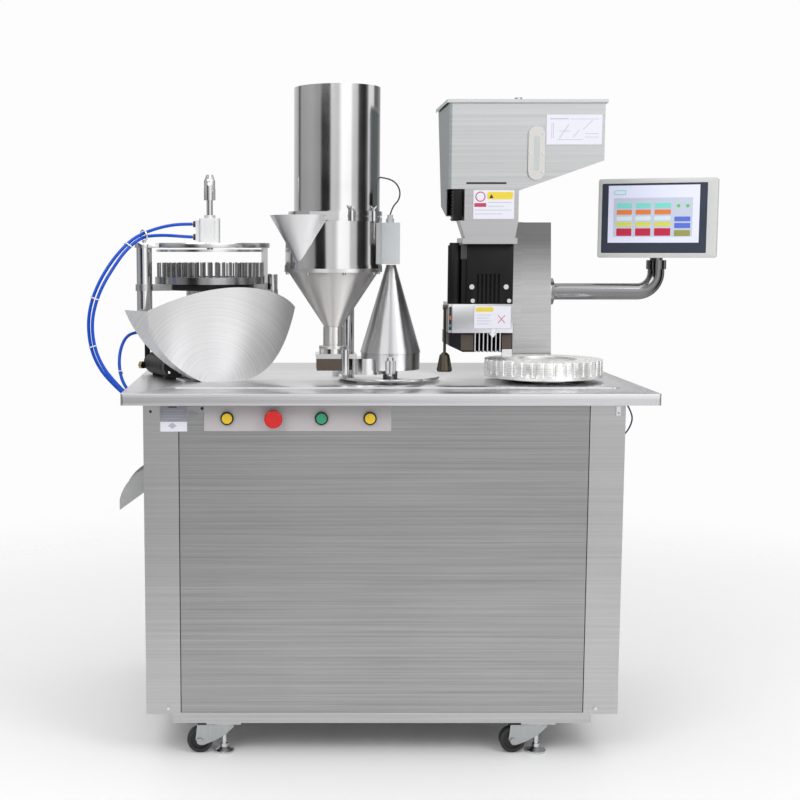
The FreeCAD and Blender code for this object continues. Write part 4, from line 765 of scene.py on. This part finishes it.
def add_screen():
    """Dark glass bezel, pale display with a grid of blank keys in four columns."""
    palette = {
        "bezel": moulded("screen_bezel", (0.055, 0.065, 0.095), 0.22, wear=0.05, Coat_Weight=0.5),
        "pale": lit("display_pale", (0.72, 0.74, 0.90)), "panel": lit("display_panel", (0.52, 0.56, 0.68)),
        "teal": lit("key_teal", (0.20, 0.66, 0.58)), "orange": lit("key_orange", (0.72, 0.20, 0.05)),
        "white": lit("key_white", (0.62, 0.74, 0.78)), "yellow": lit("key_yellow", (0.62, 0.64, 0.10)),
        "red": lit("key_red", (0.52, 0.02, 0.06)), "green": lit("key_green", (0.10, 0.55, 0.12)),
        "blue": lit("key_blue", (0.10, 0.16, 0.60)), "olive": lit("key_olive", (0.30, 0.30, 0.08)),
    }
    slabs = [(rounded(-137, 122, 1159, 1335, 4), *GLASS, "bezel"),
             (rectangle(-120.7, 103.6, 1185.2, 1329.7), *FIELD, "pale"),
             (rectangle(-107.4, 87.3, 1200.5, 1298.2), *PANEL, "panel"),
             (rounded(-107, -77, 1306, 1318, 3), *PANEL, "teal"),
             (rounded(-105, -79, 1308, 1316, 2), *INSET, "pale")]
    for x0, x1 in KEY_COLUMNS:
        for z0, z1, colour in KEY_ROWS:
            slabs.append((rounded(x0, x1, z0, z1, KEY_CORNER), *KEY, colour))
    for x in LAMP_XS:
        slabs.append((disc(x, LAMP_Z, LAMP_RADIUS), *KEY, "green"))
    for z0, z1, colour in SIDE_ROWS:
        slabs.append((rounded(*SIDE_COLUMN, z0, z1, KEY_CORNER), *KEY, colour))
    made = flat_piece("screen_display", slabs, palette, "touch_screen", on_panel)
    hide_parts("hmi_screen")


# Faces of the CAD's label plates, as the drawing's y; a label's field stands 0.3 mm off its plate.
THROAT_FACE, BLOCK_FACE, HOPPER_FACE, NOTICE_FACE = -163.0, -168.0, -141.0, -376.0


def field(face, outline, colour, sink=0.0):
    """A label's plain field; sink carries its back further in, down to a face that lies deeper."""
    return outline, face - 0.3, face + sink, colour


def mark(face, outline, colour):
    """A mark on a field."""
    return outline, face - 0.5, face - 0.3, colour


def line_of(x0, x1, z, height=1.2):
    """The outline of a level line."""
    return rectangle(x0, x1, z, z + height)


def throat_marks():
    """White label with a ringed disc, two coloured fields, a triangle and four lines."""
    face = THROAT_FACE
    slabs = [field(face, rectangle(211, 307, 1240, 1307), "white"),
             mark(face, disc(227, 1292, 12), "red"),
             (disc(227, 1292, 9.5), face - 0.6, face - 0.5, "white"),
             mark(face, rectangle(213, 241, 1268, 1277), "red"),
             mark(face, rounded(243, 304, 1286, 1303, 4), "yellow"),
             ([(248, 1288.5), (258, 1288.5), (253, 1298)], face - 0.7, face - 0.5, "dark")]
    for k, (x0, x1) in enumerate(((245, 301), (245, 282), (214, 301), (214, 280))):
        slabs.append(mark(face, line_of(x0, x1, 1278 - 9 * k), "line"))
    return slabs


def block_marks():
    """White label with a yellow field, four lines and a red cross, and a white arrow below it."""
    face = BLOCK_FACE
    slabs = [field(face, rectangle(216, 303, 981, 1034), "white"),
             mark(face, rounded(219, 262, 1021, 1031, 4), "yellow")]
    for k in range(4):
        slabs.append(mark(face, line_of(222, 256 - 5 * (k % 2), 1012 - 7 * k), "line"))
    x, z = 281, 1003
    for slope in (-1, 1):
        stroke = [(x - 9, z - 9 * slope), (x - 7.6, z - 9.8 * slope),
                  (x + 9, z + 9 * slope), (x + 7.6, z + 9.8 * slope)]
        slabs.append((stroke[::slope], face - 0.5 - 0.05 * slope, face - 0.3, "red"))
    arrow = [(257, 980), (257, 969), (252, 969), (261, 958), (270, 969), (265, 969), (265, 980)]
    slabs.append((arrow, face, face + 1.0, "white"))
    return slabs


def hopper_marks():
    """White label with a plain line drawing, and a dark strip of painted shade for the slot at the foot of
    the hopper's front.
    """
    face = HOPPER_FACE
    slabs = [field(face, rectangle(384, 516, 1415, 1485), "white"),
             mark(face, line_of(392, 436, 1474, 2), "line")]
    for x in (396, 400):
        slabs.append(mark(face, rectangle(x, x + 1, 1430, 1466), "line"))
    for x0, z0, x1, z1 in ((414, 1430, 436, 1462), (446, 1432, 462, 1450), (470, 1450, 492, 1472)):
        slabs.append(mark(face, [(x0, z0), (x0 + 1.6, z0), (x1 + 1.6, z1), (x1, z1)], "line"))
    for x0, x1, z in ((410, 470, 1426), (440, 508, 1474), (476, 508, 1440), (476, 508, 1432),
                      (414, 440, 1446)):
        slabs.append(mark(face, line_of(x0, x1, z, 1), "line"))
    # painted shade: a dark strip where the inside of the slot lies in shadow
    slabs.append((rounded(196, 292, 1322.5, 1327.0, 2), face + 0.4, face + 1.0, "dark"))
    return slabs


def front_marks():
    """Notice over the seam of post and panel, with an arrow beside it, and two dark dots."""
    face = NOTICE_FACE
    beside = 0.9                          # the cabinet beside the CAD's notice plate lies this much deeper
    arrow = [(-453, 794.5), (-446.5, 794.5), (-446.5, 789.5), (-427, 800), (-446.5, 810.5), (-446.5, 805.5),
             (-453, 805.5)]
    slabs = [field(face, rectangle(-516, -477, 783, 818), "grey"),
             field(face, rectangle(-515, -478, 761, 783), "white"),
             field(face, rectangle(-477, -454, 783, 818), "grey", beside),
             field(face, rectangle(-478, -455, 761, 783), "white", beside),
             mark(face, rectangle(-497, -478, 815, 817.5), "dark"),
             mark(face, [(-488, 767), (-478, 774), (-488, 781), (-498, 774)], "line"),
             field(face, arrow, "grey")]
    for k in range(4):
        slabs.append(mark(face, line_of(-508, -462 - 6 * (k % 2), 808 - 6 * k, 1), "line"))
    for x, z, radius in ((-537, 806, 3.2), (-421, 813, 3.6)):
        slabs.append((disc(x, z, radius), face + 0.3, face + 1.0, "dark"))
    return slabs


def add_labels():
    """Plain marks on the plates: blank fields and simple shapes, with no lettering."""
    palette = {
        "yellow": moulded("label_yellow", (0.80, 0.62, 0.04), 0.4, wear=0.04),
        "grey": moulded("label_grey", (0.30, 0.30, 0.34), 0.4, wear=0.06),
        "line": moulded("label_line", (0.45, 0.46, 0.56), 0.4, wear=0.04),
        "white": moulded("label_white", (0.78, 0.78, 0.86), 0.4, wear=0.04),
        "dark": moulded("label_dark", (0.015, 0.012, 0.03), 0.4, wear=0.04),
        "red": moulded("label_red", (0.50, 0.05, 0.12), 0.4, wear=0.04),
    }
    for name, slabs in (("throat_marks", throat_marks()), ("block_marks", block_marks()),
                        ("hopper_marks", hopper_marks()), ("front_marks", front_marks())):
        flat_piece(name, slabs, palette, "cabinet")


# ---- small pieces -----------------------------------------------------------------------------------
VALVE_BACK, VALVE_FRONT = at(-570, 66, 881), at(-505, -92, 881)     # ends of the closing cylinder
VALVE_AXIS = (VALVE_FRONT - VALVE_BACK).normalized()
VALVE_LENGTH = (VALVE_FRONT - VALVE_BACK).length
BLOCK_FRONT, BLOCK_BACK, BLOCK_FOOT, BLOCK_TOP = -150, -71, 878, 906.6     # the dosing block, in the drawing
COMB_FRONT = -150.0                                                 # y of the comb's front in the drawing


def deck_tray(form):
    """Black rim round the locking station's deck."""
    profile = [(0, 0.100), (0, 0.108), (0.003, 0.110), (0.013, 0.110), (0.0155, 0.108), (0.0155, 0.100),
               (0, 0.100)]
    add_turned(form, profile, at(-423, 19, 1067.2), (0, 0, 1), 96)


def valve_ribs(form):
    """Twelve ribs along the closing cylinder, on a thin sleeve."""
    inner, foot, crest = 0.0262, 0.0271, 0.0286
    count, end, first = 12, 0.004, 0.008
    profile = [(end, foot)]
    for k in range(count):
        z = first + k * (VALVE_LENGTH - 0.030) / count
        profile += [(z, foot), (z + 0.001, crest), (z + 0.006, crest), (z + 0.007, foot)]
    profile += [(VALVE_LENGTH - end, foot), (VALVE_LENGTH - end, inner), (end, inner), (end, foot)]
    add_turned(form, profile, VALVE_BACK, VALVE_AXIS, 56)


def valve_bolts(form):
    """Four bolt heads on the closing cylinder's front."""
    circle = 0.019
    side = VALVE_AXIS.cross(Vector((0, 0, 1))).normalized()
    for turn in (40, 140, 220, 320):
        angle = math.radians(turn)
        offset = side * (circle * math.cos(angle)) + Vector((0, 0, circle * math.sin(angle)))
        add_turned(form, [(-0.001, 0), (-0.001, 0.0035), (0.0018, 0.0035), (0.0026, 0.0027), (0.0026, 0)],
                   VALVE_FRONT + offset, VALVE_AXIS, 16)


def valve_nuts(form):
    """Two hexagon nuts at the closing cylinder's fittings."""
    profile = [(0, 0.0), (0, 0.0098), (0.001, 0.0102), (0.007, 0.0102), (0.008, 0.0098), (0.008, 0)]
    for x, y, z, axis in ((-599, 58.8, 874, (-25, 14, 2)), (-588, 70, 930, (0, 0, 1))):
        add_turned(form, profile, at(x, y, z), axis, 6)


def block_jacket(form):
    """Thin brown plates on the dosing block's front and sides."""
    add_box(form, at(-157.8, BLOCK_FRONT - 1.2, BLOCK_FOOT), at(-85.4, BLOCK_FRONT, BLOCK_TOP))
    for x0, x1 in ((-158.2, -157), (-86, -84.8)):
        add_box(form, at(x0, BLOCK_FRONT, BLOCK_FOOT), at(x1, BLOCK_BACK, BLOCK_TOP))


def hose_sleeves(form):
    """A collar on each long hose where it enters the lock cylinder."""
    profile = [(0, 0.0045), (0, 0.0072), (0.001, 0.0078), (0.0055, 0.0078), (0.0065, 0.0072),
               (0.0065, 0.0045), (0, 0.0045)]
    for z in (1231, 1199):
        add_turned(form, profile, at(-464.5, 19, z), (1, 0, 0), 32)


def comb_fins(form):
    """Seven bright fins on the comb's front."""
    for k in range(7):
        x = 221.5 + 10 * k
        add_box(form, at(x - 1.2, COMB_FRONT - 1.2, 924), at(x + 1.2, COMB_FRONT, 969))


def comb_blocks(form):
    """Brown blocks at both ends of the fins."""
    add_box(form, at(187, COMB_FRONT - 1.4, 927), at(217, COMB_FRONT, 965))
    add_box(form, at(286, COMB_FRONT - 1.4, 931), at(309, COMB_FRONT, 965))


def comb_foot(form):
    """Bright plate on the comb's bracket."""
    add_box(form, at(286, -153.2, 912), at(310, -152.0, 930))


def add_window():
    """Sight window in the hopper's front: a polished frame with its glass."""
    slabs = [(rounded(341.4, 381.6, 1332, 1458, 20), -143.9, -143.1, "bright"),
             (rounded(355, 368, 1353.5, 1436.5, 6.4), -144.2, -143.9, "glass")]
    palette = {"bright": polished("window_polished", (0.60, 0.59, 0.57), 0.14, "x"),
               "glass": moulded("window_glass", (0.50, 0.53, 0.53), 0.10, wear=0.1, Coat_Weight=0.5)}
    flat_piece("sight_window", slabs, palette, "cabinet", bevel=0.0003)


def add_end_marks(black):
    """Dark strip with two coloured patches on the rectifier's left end."""
    slabs = [(rounded(157, 163, 976, 1032, 1.5), -161.0, -160.0, "dark"),
             (rectangle(158, 162, 1001, 1011), -161.4, -161.0, "orange"),
             (rectangle(158, 162, 984, 990), -161.4, -161.0, "teal")]
    palette = {"dark": black, "orange": moulded("end_orange", (0.60, 0.16, 0.05), 0.4),
               "teal": moulded("end_teal", (0.10, 0.35, 0.33), 0.4)}
    flat_piece("rectifier_end_marks", slabs, palette, "cabinet")


def add_small_pieces():
    """The hardware that is only modelled here."""
    brown = moulded("phenolic_brown", (0.075, 0.055, 0.042), 0.40, grain=700)
    black = moulded("ribbed_black", (0.014, 0.013, 0.014), 0.38)
    brass = brushed("brass_fitting", (0.46, 0.34, 0.18), 0.28, "x", contrast=0.08, bump=0.1)
    bright = brushed("bright_bolt", (0.80, 0.80, 0.81), 0.20, "x", contrast=0.05, bump=0.1)
    light = brushed("light_fin", (0.80, 0.80, 0.81), 0.34, "z", contrast=0.05, bump=0.1)
    pieces = [
        ("deck_tray", deck_tray, black, "cabinet", "black_plastic", 0.0),
        ("valve_ribs", valve_ribs, black, "cabinet", "black_plastic", 0.0),
        ("valve_bolts", valve_bolts, bright, "cabinet", "zinc", 0.0),
        ("valve_nuts", valve_nuts, brass, "cabinet", "bronze_grip", 0.0004),
        ("dosing_block_jacket", block_jacket, brown, "cabinet", "comb_plastic", 0.0004),
        ("hose_sleeves", hose_sleeves, black, "cabinet", "black_plastic", 0.0),
        ("comb_fins", comb_fins, light, "pusher_comb", "block_aluminium", 0.0002),
        ("comb_side_blocks", comb_blocks, brown, "pusher_comb", "comb_plastic", 0.0005),
        ("comb_foot_plate", comb_foot, light, "pusher_comb", "block_aluminium", 0.0005),
    ]
    add_window()
    for name, build, material, body, slot, bevel in pieces:
        piece(name, mesh_from(name, build), material, body, bevel)
    add_end_marks(black)


# ---- making ---------------------------------------------------------------------------------------
add_camera()
add_cords()
add_world()
add_floor()
dress_cad(cad_materials())
add_screen()
add_labels()
add_small_pieces()
bpy.context.scene.view_settings.view_transform = "Standard"
for light in LIGHTS:
    add_light(*light)
